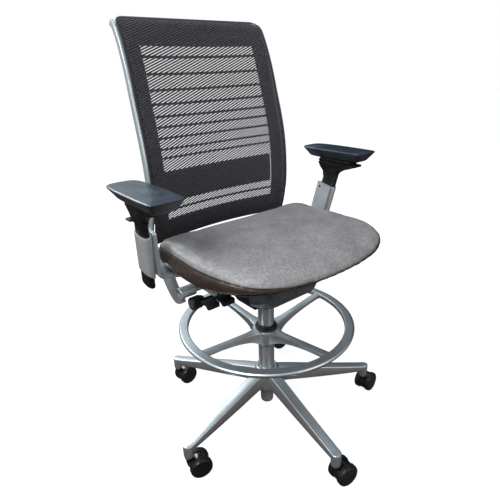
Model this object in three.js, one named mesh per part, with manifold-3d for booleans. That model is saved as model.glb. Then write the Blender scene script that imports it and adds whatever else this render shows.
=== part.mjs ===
// A drafting chair: a five-legged base on twin-wheel casters, a gas column with a foot ring,
// a padded seat, a knit back in a metal frame and two adjustable arms.
// Millimetres, +Z up. The chair faces -Y, so the sitter's right hand is on the -X side.
// The origin is on the floor, under the middle of the whole chair.
import * as THREE from "three";
import Module from "manifold-3d";
import { mergeVertices } from "three/addons/utils/BufferGeometryUtils.js";

// ---------------------------------------------------------------- driving dimensions
const COLUMN_Y = 16.43; // the column stands this far behind the middle of the chair
const GAP = 0.3; // clearance between pieces that touch

// Base star.
const LEG_COUNT = 5;
const FIRST_LEG = 45.3; // degrees from +X
const LEG_RADIUS = 294.7; // column axis to caster stem
const HUB_RADIUS = 36;
const HUB_TOP = 158;
const HUB_BOTTOM = 88;
const TIP_TOP = 101;
const TIP_BOTTOM = 85;
const SOCKET_RADIUS = 12.5;
const SOCKET_BOTTOM = 64;

// Casters: each heading is the way its wheels trail, in degrees from +X.
const CASTER_HEADINGS = [-8, 4, -14, -8, 10];
const WHEEL_RADIUS = 28;
const WHEEL_CENTRE = 31.5; // above the drawing's own datum
const WHEEL_INNER = 8.4;
const WHEEL_OUTER = 23.5;
const TRAIL = 24;
const STEM_RADIUS = 5.5;
const AXLE_RADIUS = 4;

// Gas column.
const TUBE_RADIUS = 21.5;
const TUBE_BOTTOM = 38;
const TUBE_TOP = 345;
const BUSH_TOP = 360;
const ROD_RADIUS = 14;
const ROD_BOTTOM = 92;
const ROD_TOP = 430;

// Foot ring.
const RING_OUTER = 229;
const RING_INNER = 204.4;
const RING_TOP = 304;
const RING_DEPTH = 13;
const SPOKE_TURN = 2.5; // degrees from +X to the first spoke
const SPOKE_COUNT = 4;
const RING_HUB_RADIUS = 36;
const RING_HUB_TOP = 282;
const RING_HUB_BOTTOM = 242;
const COLLAR_RADIUS = 27;

// Mechanism under the seat.
const HOUSING_HALF = 60;
const PIVOT_Y = 82;
const PIVOT_Z = 420;
const SHAFT_RADIUS = 9.3;
const EYE_RADIUS = 14.5;

// Seat.
const CUSHION_BOTTOM = 492;
const CUSHION_TOP = 557;
const SEAT_BACK = 129;
const SEAT_FRONT = -246;
const SEAT_MIDDLE = -60;

// Back: its front surface seen from the side, bottom to top, as [y, z].
const BACK_SIDE = [
  [168, 522], [157, 556], [148, 612], [149, 691], [156, 748], [168, 802],
  [184, 860], [197, 909], [211, 951], [226, 987], [242, 1015], [263, 1031],
];
const BACK_HALF = 212;
const BACK_NARROWING = 7; // taken off the half width at the top
const BACK_CORNER = 28;
const BACK_BOW = 19; // at the foot, the middle of the back lies this far behind its sides
const UPRIGHT_INNER = 209.8;
const UPRIGHT_OUTER = 217.5;
const CARRIER_WIDTH = 40;
const FLEXOR_HEIGHTS = [559, 594, 729, 750, 776, 801, 825, 852, 882, 918, 956];
const LUMBAR_MIDDLE = 659;
const LUMBAR_HEIGHT = 78;

// Arms: one bracket, post and pad on each side.
const ARM_X = 290;
const ARM_Y = 55;
const SLEEVE_TOP = 606;
const SLEEVE_HALF_X = 12.5;
const SLEEVE_HALF_Y = 27;
const SLEEVE_WALL = 2.6;
const SOCKET_FLOOR = 440;
const POST_BOTTOM = 469;
const LEAN_FORWARD = 12; // degrees, of each sleeve and post
const LEAN_OUT = 5.5;
const FAN_TOP = 672;
const PAD_TOP = 708;
const PAD_BOTTOM = 681;
const PAD_MIDDLES = { right: [-301, 8], left: [301, 40] };

const wasm = await Module();
wasm.setup();

// ---------------------------------------------------------------- materials
function material(colour, roughness, metalness) {
  return new THREE.MeshStandardMaterial({ color: colour, roughness, metalness });
}

const aluminium = material(0xb9bec2, 0.25, 1.0);
const silverPaint = material(0xa9b2b6, 0.4, 0.7);
const columnGrey = material(0x6f7276, 0.45, 0.6);
const coverGrey = material(0x767a80, 0.5, 0.5);
const blackPlastic = material(0x17181a, 0.5, 0.0);
const glossBlack = material(0x0e0f11, 0.25, 0.0);
const leather = material(0x6a605c, 0.45, 0.0);
const blackKnit = material(0x1c1c20, 0.8, 0.0);

// ---------------------------------------------------------------- solids
function solidOf(geometry) {
  const bare = new THREE.BufferGeometry();
  bare.setAttribute("position", geometry.getAttribute("position"));
  bare.setIndex(geometry.getIndex());
  const merged = mergeVertices(bare, 1e-4);
  const index = merged.getIndex().array;
  const kept = [];
  for (let i = 0; i < index.length; i += 3) {
    const [a, b, c] = [index[i], index[i + 1], index[i + 2]];
    if (a !== b && b !== c && c !== a) kept.push(a, b, c);
  }
  const vertProperties = new Float32Array(merged.getAttribute("position").array);
  return new wasm.Manifold(new wasm.Mesh({ numProp: 3, vertProperties, triVerts: new Uint32Array(kept) }));
}

function geometryOf(solid) {
  const mesh = solid.getMesh();
  const geometry = new THREE.BufferGeometry();
  geometry.setAttribute("position", new THREE.BufferAttribute(new Float32Array(mesh.vertProperties), 3));
  geometry.setIndex(new THREE.BufferAttribute(new Uint32Array(mesh.triVerts), 1));
  const flat = geometry.toNonIndexed();
  flat.computeVertexNormals();
  return flat;
}

function join(...geometries) {
  const solids = geometries.map(solidOf);
  return geometryOf(solids.reduce((whole, piece) => whole.add(piece)));
}

function cut(geometry, ...tools) {
  const start = solidOf(geometry);
  return geometryOf(tools.reduce((whole, tool) => whole.subtract(solidOf(tool)), start));
}

// A closed mesh from points and triangles, turned so that its faces point out.
function closedMesh(points, triangles) {
  let volume = 0;
  for (const [a, b, c] of triangles) {
    const normal = new THREE.Vector3().crossVectors(points[b], points[c]);
    volume += points[a].dot(normal);
  }
  const positions = [];
  for (const [a, b, c] of triangles) {
    const order = volume > 0 ? [a, b, c] : [a, c, b];
    for (const i of order) positions.push(points[i].x, points[i].y, points[i].z);
  }
  const geometry = new THREE.BufferGeometry();
  geometry.setAttribute("position", new THREE.Float32BufferAttribute(positions, 3));
  geometry.computeVertexNormals();
  return geometry;
}

function bands(rings) {
  const count = rings[0].length;
  const triangles = [];
  for (let i = 0; i < rings.length - 1; i++) {
    for (let j = 0; j < count; j++) {
      const next = (j + 1) % count;
      const low = i * count;
      const high = low + count;
      triangles.push([low + j, low + next, high + next], [low + j, high + next, high + j]);
    }
  }
  return triangles;
}

// Rings of points joined in order, with a fan over each end ring.
function loft(rings) {
  const count = rings[0].length;
  const points = rings.flat();
  const triangles = bands(rings);
  const last = (rings.length - 1) * count;
  for (const [start, turn] of [[0, true], [last, false]]) {
    const middle = new THREE.Vector3();
    for (let j = 0; j < count; j++) middle.addScaledVector(points[start + j], 1 / count);
    const hub = points.push(middle) - 1;
    for (let j = 0; j < count; j++) {
      const here = start + j;
      const next = start + (j + 1) % count;
      triangles.push(turn ? [hub, next, here] : [hub, here, next]);
    }
  }
  return closedMesh(points, triangles);
}

// A thin curved slab: each ring runs along the front and returns along the back.
function slab(rings) {
  const count = rings[0].length;
  const points = rings.flat();
  const triangles = bands(rings);
  const last = (rings.length - 1) * count;
  for (const [start, turn] of [[0, true], [last, false]]) {
    for (let j = 0; j < count / 2 - 1; j++) {
      const [a, b, c, d] = [start + j, start + j + 1, start + count - 2 - j, start + count - 1 - j];
      if (turn) triangles.push([a, c, b], [a, d, c]);
      else triangles.push([a, b, c], [a, c, d]);
    }
  }
  return closedMesh(points, triangles);
}

function cylinder(radius, bottom, top, sides = 32) {
  const geometry = new THREE.CylinderGeometry(radius, radius, top - bottom, sides);
  geometry.rotateX(Math.PI / 2);
  geometry.translate(0, 0, (top + bottom) / 2);
  return geometry;
}

// A cylinder along X, from one x to another, on the axis at [y, z].
function crossCylinder(radius, from, to, y, z, sides = 20) {
  const geometry = new THREE.CylinderGeometry(radius, radius, to - from, sides);
  geometry.rotateZ(Math.PI / 2);
  geometry.translate((from + to) / 2, y, z);
  return geometry;
}

function box(low, high) {
  const size = high.map((value, i) => value - low[i]);
  const geometry = new THREE.BoxGeometry(...size);
  geometry.translate(...low.map((value, i) => value + size[i] / 2));
  return geometry;
}

// A profile of [radius, height] turned about Z.
function turned(profile, sides) {
  const geometry = new THREE.LatheGeometry(profile.map(([r, z]) => new THREE.Vector2(r, z)), sides);
  geometry.rotateX(Math.PI / 2);
  return geometry;
}

function shapeOf(points) {
  return new THREE.Shape(points.map(([x, y]) => new THREE.Vector2(x, y)));
}

// An outline drawn as [y, z], extruded along X from one x to another.
function sideExtrusion(shape, from, to, curveSegments = 6) {
  const geometry = new THREE.ExtrudeGeometry(shape, { depth: to - from, bevelEnabled: false, curveSegments });
  const axes = [new THREE.Vector3(0, 1, 0), new THREE.Vector3(0, 0, 1), new THREE.Vector3(1, 0, 0)];
  geometry.applyMatrix4(new THREE.Matrix4().makeBasis(...axes));
  geometry.translate(from, 0, 0);
  return geometry;
}

// An outline drawn as [x, z], extruded along Y from one y to another.
function frontExtrusion(shape, from, to, curveSegments = 6) {
  const geometry = new THREE.ExtrudeGeometry(shape, { depth: to - from, bevelEnabled: false, curveSegments });
  geometry.rotateX(Math.PI / 2);
  geometry.translate(0, to, 0);
  return geometry;
}

function mirrored(geometry) {
  const flat = geometry.index ? geometry.toNonIndexed() : geometry.clone();
  const position = flat.getAttribute("position");
  const copy = position.array.slice();
  for (let i = 0; i < position.count; i += 3) {
    for (let corner = 0; corner < 3; corner++) {
      const source = 3 * (i + 2 - corner);
      position.setXYZ(i + corner, -copy[source], copy[source + 1], copy[source + 2]);
    }
  }
  const result = new THREE.BufferGeometry();
  result.setAttribute("position", position);
  result.computeVertexNormals();
  return result;
}

// A rectangle with cut corners, as [across, up] pairs.
function chamfered(halfWidth, low, high, chamfer) {
  return [
    [halfWidth - chamfer, low], [halfWidth, low + chamfer], [halfWidth, high - chamfer],
    [halfWidth - chamfer, high], [chamfer - halfWidth, high], [-halfWidth, high - chamfer],
    [-halfWidth, low + chamfer], [chamfer - halfWidth, low],
  ];
}

const chair = new THREE.Group();
chair.position.set(0, COLUMN_Y, WHEEL_RADIUS - WHEEL_CENTRE);

function piece(name, geometry, finish, parent = chair) {
  const mesh = new THREE.Mesh(geometry, finish);
  mesh.name = name;
  parent.add(mesh);
  return mesh;
}

// ---------------------------------------------------------------- base and casters
// A beam along +X: each station is [x, half width, bottom, top].
function beam(stations, chamfer) {
  return loft(stations.map(([x, halfWidth, low, high]) =>
    chamfered(halfWidth, low, high, chamfer).map(([y, z]) => new THREE.Vector3(x, y, z))));
}

function legAngle(i) {
  return THREE.MathUtils.degToRad(FIRST_LEG + (i * 360) / LEG_COUNT);
}

function baseStar() {
  const hub = turned([
    [0, HUB_BOTTOM], [HUB_RADIUS - 4, HUB_BOTTOM], [HUB_RADIUS, HUB_BOTTOM + 8],
    [HUB_RADIUS, HUB_TOP - 10], [HUB_RADIUS - 8, HUB_TOP], [0, HUB_TOP],
  ], 24);
  const pieces = [hub];
  const bores = [cylinder(TUBE_RADIUS + GAP, HUB_BOTTOM - 10, HUB_TOP + 10, 24)];
  for (let i = 0; i < LEG_COUNT; i++) {
    const leg = beam([
      [12, 15, 106, 151], [60, 14.5, 104, 145], [130, 13.5, 96, 131],
      [220, 12.6, 89, 114], [LEG_RADIUS, 12, TIP_BOTTOM, TIP_TOP],
    ], 1.5);
    const socket = cylinder(SOCKET_RADIUS, SOCKET_BOTTOM, TIP_TOP - 0.4, 16);
    const bore = cylinder(STEM_RADIUS + GAP, SOCKET_BOTTOM - 5, TIP_TOP - 10, 12);
    for (const tip of [socket, bore]) tip.translate(LEG_RADIUS, 0, 0);
    for (const part of [leg, socket, bore]) part.rotateZ(legAngle(i));
    pieces.push(leg, socket);
    bores.push(bore);
  }
  return cut(join(...pieces), ...bores);
}

// The caster is drawn with its stem on the Z axis and its wheels trailing along +X.
function casterHood() {
  const radius = WHEEL_RADIUS - 2.5;
  const dip = 0.8;
  const outline = new THREE.Shape();
  outline.absarc(TRAIL, WHEEL_CENTRE, radius, -dip, Math.PI + dip, false);
  const half = WHEEL_INNER - GAP - 0.4;
  const web = frontExtrusion(outline, -half, half, 14);
  const neck = cylinder(half, WHEEL_CENTRE, SOCKET_BOTTOM - 2, 12);
  const collar = cylinder(10.5, WHEEL_CENTRE + WHEEL_RADIUS + 0.5, SOCKET_BOTTOM - GAP, 16);
  const stem = cylinder(STEM_RADIUS, 40, TIP_TOP - 12, 12);
  const axle = cylinder(AXLE_RADIUS, -17, 17, 10);
  axle.rotateX(Math.PI / 2);
  axle.translate(TRAIL, 0, WHEEL_CENTRE);
  return join(web, neck, collar, stem, axle);
}

function casterWheel(side) {
  const bore = AXLE_RADIUS + GAP;
  const boreEnd = 17 + GAP;
  const wheel = turned([
    [0, boreEnd], [bore, boreEnd], [bore, WHEEL_INNER], [WHEEL_RADIUS - 1, WHEEL_INNER],
    [WHEEL_RADIUS, WHEEL_OUTER - 5], [WHEEL_RADIUS - 4, WHEEL_OUTER], [0, WHEEL_OUTER + 1],
  ], 24);
  wheel.rotateX((side * Math.PI) / 2);
  wheel.translate(TRAIL, 0, WHEEL_CENTRE);
  return wheel;
}

function addCasters() {
  for (let i = 0; i < LEG_COUNT; i++) {
    const swivel = new THREE.Group();
    swivel.position.set(LEG_RADIUS * Math.cos(legAngle(i)), LEG_RADIUS * Math.sin(legAngle(i)), 0);
    swivel.rotation.z = THREE.MathUtils.degToRad(CASTER_HEADINGS[i]);
    chair.add(swivel);
    piece(`caster_hood_${i + 1}`, casterHood(), glossBlack, swivel);
    piece(`caster_wheel_${i + 1}a`, casterWheel(1), blackPlastic, swivel);
    piece(`caster_wheel_${i + 1}b`, casterWheel(-1), blackPlastic, swivel);
  }
}

// ---------------------------------------------------------------- column
function columnTube() {
  const lower = TUBE_RADIUS - 3.5;
  const bore = ROD_RADIUS + GAP;
  return turned([
    [0, TUBE_BOTTOM], [lower - 5, TUBE_BOTTOM], [lower - 1, TUBE_BOTTOM + 3], [lower, TUBE_BOTTOM + 8],
    [lower, HUB_BOTTOM], [TUBE_RADIUS, HUB_TOP], [TUBE_RADIUS, TUBE_TOP], [bore, TUBE_TOP],
    [bore, ROD_BOTTOM - 2], [0, ROD_BOTTOM - 2],
  ], 24);
}

function columnBush() {
  const bore = ROD_RADIUS + GAP;
  const outer = TUBE_RADIUS + 0.7;
  const low = TUBE_TOP + GAP;
  return turned([
    [bore, low], [outer, low], [outer, BUSH_TOP - 3], [outer - 3, BUSH_TOP], [bore, BUSH_TOP], [bore, low],
  ], 24);
}

function pistonRod() {
  return turned([
    [0, ROD_BOTTOM], [ROD_RADIUS, ROD_BOTTOM], [ROD_RADIUS, ROD_TOP - 20],
    [ROD_RADIUS - 1, ROD_TOP], [0, ROD_TOP],
  ], 24);
}

// ---------------------------------------------------------------- foot ring
function footring() {
  const low = RING_TOP - RING_DEPTH;
  const rim = turned([
    [RING_INNER, low], [RING_OUTER - 4, low], [RING_OUTER, RING_TOP - 7], [RING_OUTER - 1, RING_TOP - 2],
    [RING_OUTER - 4, RING_TOP], [RING_INNER, RING_TOP], [RING_INNER, low],
  ], 56);
  const hub = cylinder(RING_HUB_RADIUS, RING_HUB_BOTTOM, RING_HUB_TOP, 24);
  const pieces = [rim, hub];
  for (let i = 0; i < SPOKE_COUNT; i++) {
    const spoke = beam([
      [10, 17, RING_HUB_BOTTOM + 2, RING_HUB_TOP], [36, 14, RING_HUB_BOTTOM + 8, RING_HUB_TOP],
      [60, 10.5, 262, 284.5], [100, 9.5, 274, 289.5], [150, 9.5, 284, 295],
      [RING_INNER + 4, 9.5, 288, RING_TOP - 3],
    ], 1.2);
    spoke.rotateZ(THREE.MathUtils.degToRad(SPOKE_TURN + (i * 360) / SPOKE_COUNT));
    pieces.push(spoke);
  }
  const bore = cylinder(COLLAR_RADIUS + GAP, RING_HUB_BOTTOM - 10, RING_HUB_TOP + 10, 24);
  return cut(join(...pieces), bore);
}

// The collar grips the column, passes through the ring's hub and shows above and below it.
function footringCollar() {
  const bore = TUBE_RADIUS + GAP;
  const shelf = RING_HUB_TOP + GAP;
  return turned([
    [bore, 235], [COLLAR_RADIUS - 1.5, 235], [COLLAR_RADIUS, 238], [COLLAR_RADIUS, shelf],
    [COLLAR_RADIUS + 2.5, shelf], [COLLAR_RADIUS + 2.5, 290], [COLLAR_RADIUS, 294], [bore, 294], [bore, 235],
  ], 24);
}

// ---------------------------------------------------------------- mechanism
function mechanismHousing() {
  const body = sideExtrusion(shapeOf([
    [-29, 366], [40, 366], [88, 388], [108, 404], [112, 430], [100, 458], [60, 470], [-29, 470],
  ]), -HOUSING_HALF, HOUSING_HALF);
  const socket = cylinder(ROD_RADIUS + GAP, 350, ROD_TOP + 2);
  const bearing = crossCylinder(SHAFT_RADIUS + GAP, -80, 80, PIVOT_Y, PIVOT_Z);
  return cut(body, socket, bearing);
}

// The cover's cross-section at one y: a box with rounded lower corners.
function coverRing(y, halfWidth, low, high, radius) {
  const points = [new THREE.Vector3(halfWidth, y, high)];
  for (const [side, first] of [[1, 0], [-1, 90]]) {
    for (let step = 0; step <= 4; step++) {
      const angle = THREE.MathUtils.degToRad(first + step * 22.5);
      const across = side * (halfWidth - radius);
      const reach = side > 0 ? Math.cos(angle) : -Math.sin(angle);
      const drop = side > 0 ? Math.sin(angle) : -Math.cos(angle);
      points.push(new THREE.Vector3(across + radius * reach, y, low + radius - radius * Math.abs(drop)));
    }
  }
  points.push(new THREE.Vector3(-halfWidth, y, high));
  return points;
}

function mechanismCover() {
  const wall = 3;
  const stations = [
    [-114, 56, 428, 20], [-108, 74, 412, 24], [-98, 80, 402, 26], [-70, 80, 388, 26], [-30, 80, 376, 26],
  ];
  const rear = [[-30, 80 - wall, 376 + wall, 24], [-20, 80 - wall, 376 + wall, 24]];
  const outer = loft(stations.map(([y, half, low, radius]) => coverRing(y, half, low, 466, radius)));
  const inner = loft([
    ...stations.slice(0, -1).map(([y, half, low, radius]) =>
      coverRing(y + wall, half - wall, low + wall, 480, radius - wall + 1)),
    ...rear.map(([y, half, low, radius]) => coverRing(y, half, low, 480, radius)),
  ]);
  const boss = cylinder(6, 0, 6, 16);
  boss.scale(1, 1.7, 1);
  boss.rotateX(Math.PI / 2);
  boss.translate(0, -109, 436);
  return join(cut(outer, inner), boss);
}

function pivotShaft() {
  return crossCylinder(SHAFT_RADIUS, -203, 203, PIVOT_Y, PIVOT_Z);
}

const DIAL_Y = 66;
const DIAL_Z = 390;

function reclineDial() {
  const knob = turned([
    [0, 0], [16, 0], [16.5, 3], [16.5, 24], [13, 34], [0, 34],
  ], 24);
  knob.rotateY(Math.PI / 2);
  knob.translate(-183, DIAL_Y, DIAL_Z);
  const rod = crossCylinder(4, -160, -HOUSING_HALF - GAP, DIAL_Y, DIAL_Z, 12);
  return join(knob, rod);
}

// A flat paddle on a cross rod; the rod is the paddle's hinge.
function paddleLever(outer, inner, front, back, z, rodY) {
  const low = z - 2.6;
  const high = z + 2.6;
  const plate = sideExtrusion(shapeOf([
    [front, low - 6], [front + 5, low - 8], [front + 12, low], [back, low], [back, high], [front + 8, high],
    [front, high - 5],
  ]), outer, inner);
  const rod = crossCylinder(5, inner - 6, -HOUSING_HALF - GAP, rodY, z, 12);
  return join(plate, rod);
}

function addMechanism() {
  piece("mechanism_housing", mechanismHousing(), blackPlastic);
  piece("mechanism_front_cover", mechanismCover(), coverGrey);
  piece("back_pivot_shaft", pivotShaft(), aluminium);
  piece("recline_dial", reclineDial(), blackPlastic);
  piece("height_lever", paddleLever(-173, -141, 3, 38, 404, 28), blackPlastic);
  piece("seat_depth_lever", paddleLever(-168, -136, -52, -16, 436, -24), blackPlastic);
}

// ---------------------------------------------------------------- seat
// Half of the seat's plan outline, from the middle of the back to the middle of the front.
const SEAT_HALF_OUTLINE = [
  [0, SEAT_BACK], [120, SEAT_BACK], [196, 129], [221, 126], [234, 112], [238, 80], [244, 0], [245, -70],
  [235, -135], [208, -189], [153, -224], [80, -241], [0, SEAT_FRONT],
];

function seatOutline(count) {
  const right = SEAT_HALF_OUTLINE.map(([x, y]) => new THREE.Vector3(x, y, 0));
  const left = SEAT_HALF_OUTLINE.slice(1, -1).reverse().map(([x, y]) => new THREE.Vector3(-x, y, 0));
  const curve = new THREE.CatmullRomCurve3([...right, ...left], true, "centripetal");
  return curve.getSpacedPoints(count).slice(0, count);
}

const SEAT_TRAVEL = 60;

// The seat drops towards its front edge.
function waterfall(y) {
  const past = Math.max(0, -110 - y);
  return 0.0011 * past * past;
}

// Its underside rises towards the front, and levels out under the front edge.
function upsweep(y) {
  const past = Math.max(0, 20 - y);
  const rise = 0.00055 * past * past;
  return rise < 20 ? rise : 28 - 8 * Math.exp((20 - rise) / 8);
}

// Closed rings around the seat: each level is [height, inset, share of the drop, share of the rise].
// The rise is that of the underside when it has slid forward by the given travel.
function seatRings(levels, travel = 0) {
  const outline = seatOutline(42);
  return levels.map(([z, inset, drop, rise]) => outline.map((point) => {
    const x = point.x * (1 - inset / 240);
    const y = SEAT_MIDDLE + (point.y - SEAT_MIDDLE) * (1 - inset / 186);
    return new THREE.Vector3(x, y, z - drop * waterfall(y) + rise * upsweep(y + travel));
  }));
}

function seatCushion() {
  return loft(seatRings([
    [CUSHION_BOTTOM, 150, 0, 1], [CUSHION_BOTTOM, 100, 0, 1], [CUSHION_BOTTOM, 46, 0, 1],
    [CUSHION_BOTTOM, 26, 0.1, 1], [CUSHION_BOTTOM + 5, 13, 0.2, 0.95], [CUSHION_BOTTOM + 18, 3, 0.35, 0.6],
    [CUSHION_BOTTOM + 36, 0, 0.6, 0.15], [CUSHION_TOP - 11, 2, 1, 0], [CUSHION_TOP - 4, 9, 1, 0],
    [CUSHION_TOP, 26, 1, 0], [CUSHION_TOP + 3, 90, 1, 0], [CUSHION_TOP + 4, 150, 1, 0],
  ]));
}

// The pan clears the cushion's underside all along its depth travel; its spine slides on the housing.
function seatPan() {
  const top = CUSHION_BOTTOM - 1.5;
  const pan = loft(seatRings([
    [top - 9, 150, 0, 1], [top - 9, 56, 0, 1], [top, 46, 0, 1], [top, 100, 0, 1], [top, 150, 0, 1],
  ], SEAT_TRAVEL));
  const spine = box([-50, -60, 470.6], [50, 70, CUSHION_BOTTOM - 6]);
  return join(pan, spine);
}

function seatRail() {
  const top = CUSHION_BOTTOM - GAP;
  return sideExtrusion(shapeOf([
    [-82, top - 8], [-78, top - 10], [26, top - 10], [29, top - 7], [29, top], [-82, top],
  ]), 203, 212);
}

function addSeat() {
  piece("seat_cushion", seatCushion(), leather);
  piece("seat_pan", seatPan(), blackPlastic);
  piece("seat_rail_left", seatRail(), silverPaint);
  piece("seat_rail_right", mirrored(seatRail()), silverPaint);
}

// ---------------------------------------------------------------- back
const backCurve = new THREE.CatmullRomCurve3(
  BACK_SIDE.map(([y, z]) => new THREE.Vector3(0, y, z)), false, "centripetal");
backCurve.arcLengthDivisions = 400;
const BACK_LENGTH = backCurve.getLength();

// The place along the back's side curve, from 0 to 1, that is at one height.
function stationAt(height) {
  let [low, high] = [0, 1];
  for (let step = 0; step < 30; step++) {
    const middle = (low + high) / 2;
    if (backCurve.getPointAt(middle).z < height) low = middle;
    else high = middle;
  }
  return low;
}

function narrowing(station) {
  return BACK_NARROWING * THREE.MathUtils.smoothstep(station, 0.4, 1);
}

// A point of the back: across, along the side curve, and behind the front surface.
function backPoint(x, station, behind) {
  const point = backCurve.getPointAt(station);
  const along = backCurve.getTangentAt(station);
  const straighten = 1 - THREE.MathUtils.smoothstep(station, 0.8, 0.97);
  const bow = BACK_BOW * (1 - 0.6 * station) * straighten * (1 - (x / (BACK_HALF - narrowing(station))) ** 2);
  return new THREE.Vector3(x, point.y + along.z * (behind + bow), point.z - along.y * (behind + bow));
}

// The half width of the back's outline, with its round upper corners.
function halfWidthAt(station, full) {
  const toTop = (1 - station) * BACK_LENGTH;
  const into = Math.max(0, BACK_CORNER - toTop);
  return full - narrowing(station) - BACK_CORNER + Math.sqrt(BACK_CORNER ** 2 - into ** 2);
}

function backSlab(stations, across, front, rear) {
  return slab(stations.map((station) => {
    const xs = across(station);
    const outward = xs.map((x) => backPoint(x, station, front));
    const inward = xs.slice().reverse().map((x) => backPoint(x, station, rear));
    return [...outward, ...inward];
  }));
}

function spread(from, to, count) {
  return Array.from({ length: count + 1 }, (_, i) => from + ((to - from) * i) / count);
}

function backMesh() {
  const stations = [...spread(0, 0.9, 14), ...spread(0.92, 0.999, 5)];
  const across = (station) => spread(-halfWidthAt(station, BACK_HALF), halfWidthAt(station, BACK_HALF), 6);
  return backSlab(stations, across, 0, 1.8);
}

function backTopRail() {
  const low = stationAt(975);
  const across = (station) => spread(-halfWidthAt(station, 209), halfWidthAt(station, 209), 6);
  return backSlab(spread(low, 0.995, 6), across, 3.4, 12);
}

function backBottomRail() {
  const across = () => spread(-206.5, 206.5, 6);
  return backSlab(spread(0, stationAt(576), 3), across, 3.4, 12);
}

function backCarrier() {
  const from = stationAt(576.5);
  const to = stationAt(974);
  const across = (station) => spread(209 - CARRIER_WIDTH - narrowing(station), 209 - narrowing(station), 2);
  return backSlab(spread(from, to, 12), across, 3.4, 12);
}

function lumbarPad() {
  const from = stationAt(LUMBAR_MIDDLE - LUMBAR_HEIGHT / 2);
  const to = stationAt(LUMBAR_MIDDLE + LUMBAR_HEIGHT / 2);
  return backSlab(spread(from, to, 4), () => spread(-166, 166, 6), 9, 14);
}

function flexor(height) {
  const from = stationAt(height - 2.6);
  const to = stationAt(height + 2.6);
  return backSlab([from, to], () => spread(-186, 186, 6), 18, 23);
}

// The upright: a thin metal edge beside the knit that sweeps under the seat to the pivot.
function upright() {
  const middle = (UPRIGHT_INNER + UPRIGHT_OUTER) / 2;
  const half = (UPRIGHT_OUTER - UPRIGHT_INNER) / 2;
  const rings = spread(0.985, stationAt(600), 13).map((station) => {
    const point = backCurve.getPointAt(station);
    const along = backCurve.getTangentAt(station);
    const x = middle - narrowing(station);
    return chamfered(half, 3, 20.5 - 3 * station, 1.5).map(([across, behind]) =>
      new THREE.Vector3(x + across, point.y + along.z * behind, point.z - along.y * behind));
  });
  // The sweep below the knit, each as [x, y, z, depth, thickness].
  const sweep = [
    [middle, 173, 566, 20, 2 * half], [middle, 178, 545, 21, 2 * half],
    [middle - 0.5, 184.5, 525, 22, 2 * half + 1], [208, 175, 506, 32, 12], [200, 163, 482, 40, 15],
    [196, 149, 450, 40, 17], [195, 129, 418, 33, 18], [195, 106, 400, 30, 18],
    [195, 88, 403, 27, 18],
  ];
  sweep.forEach(([x, y, z, depth, thickness], i) => {
    const before = sweep[Math.max(0, i - 1)];
    const after = sweep[Math.min(sweep.length - 1, i + 1)];
    const along = new THREE.Vector2(before[1] - after[1], before[2] - after[2]).normalize();
    rings.push(chamfered(thickness / 2, -depth / 2, depth / 2, 2).map(([across, behind]) =>
      new THREE.Vector3(x + across, y + along.y * behind, z - along.x * behind)));
  });
  const eye = crossCylinder(EYE_RADIUS, 162, 206, PIVOT_Y, PIVOT_Z);
  const bore = crossCylinder(SHAFT_RADIUS + GAP, 150, 203.5, PIVOT_Y, PIVOT_Z);
  return cut(join(loft(rings), eye), bore);
}

function addBack() {
  piece("back_mesh", backMesh(), blackKnit);
  piece("back_top_rail", backTopRail(), blackPlastic);
  piece("back_bottom_rail", backBottomRail(), blackPlastic);
  piece("back_carrier_left", backCarrier(), blackPlastic);
  piece("back_carrier_right", mirrored(backCarrier()), blackPlastic);
  piece("lumbar_pad", lumbarPad(), blackPlastic);
  FLEXOR_HEIGHTS.forEach((height, i) => {
    piece(`flexor_${String(i + 1).padStart(2, "0")}`, flexor(height), blackPlastic);
  });
  piece("back_upright_left", upright(), silverPaint);
  piece("back_upright_right", mirrored(upright()), silverPaint);
}

// ---------------------------------------------------------------- arms, drawn for the +X side
function ovalColumn(halfX, halfY, low, high, sides = 28) {
  const geometry = cylinder(1, low, high, sides);
  geometry.scale(halfX, halfY, 1);
  geometry.translate(ARM_X, ARM_Y, 0);
  return geometry;
}

// Turns a piece drawn upright so that it leans forward and outward about the middle of the sleeve's mouth.
function leaning(geometry) {
  geometry.translate(-ARM_X, -ARM_Y, -SLEEVE_TOP);
  geometry.rotateX(THREE.MathUtils.degToRad(LEAN_FORWARD));
  geometry.rotateY(THREE.MathUtils.degToRad(LEAN_OUT));
  geometry.translate(ARM_X, ARM_Y, SLEEVE_TOP);
  return geometry;
}

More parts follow.
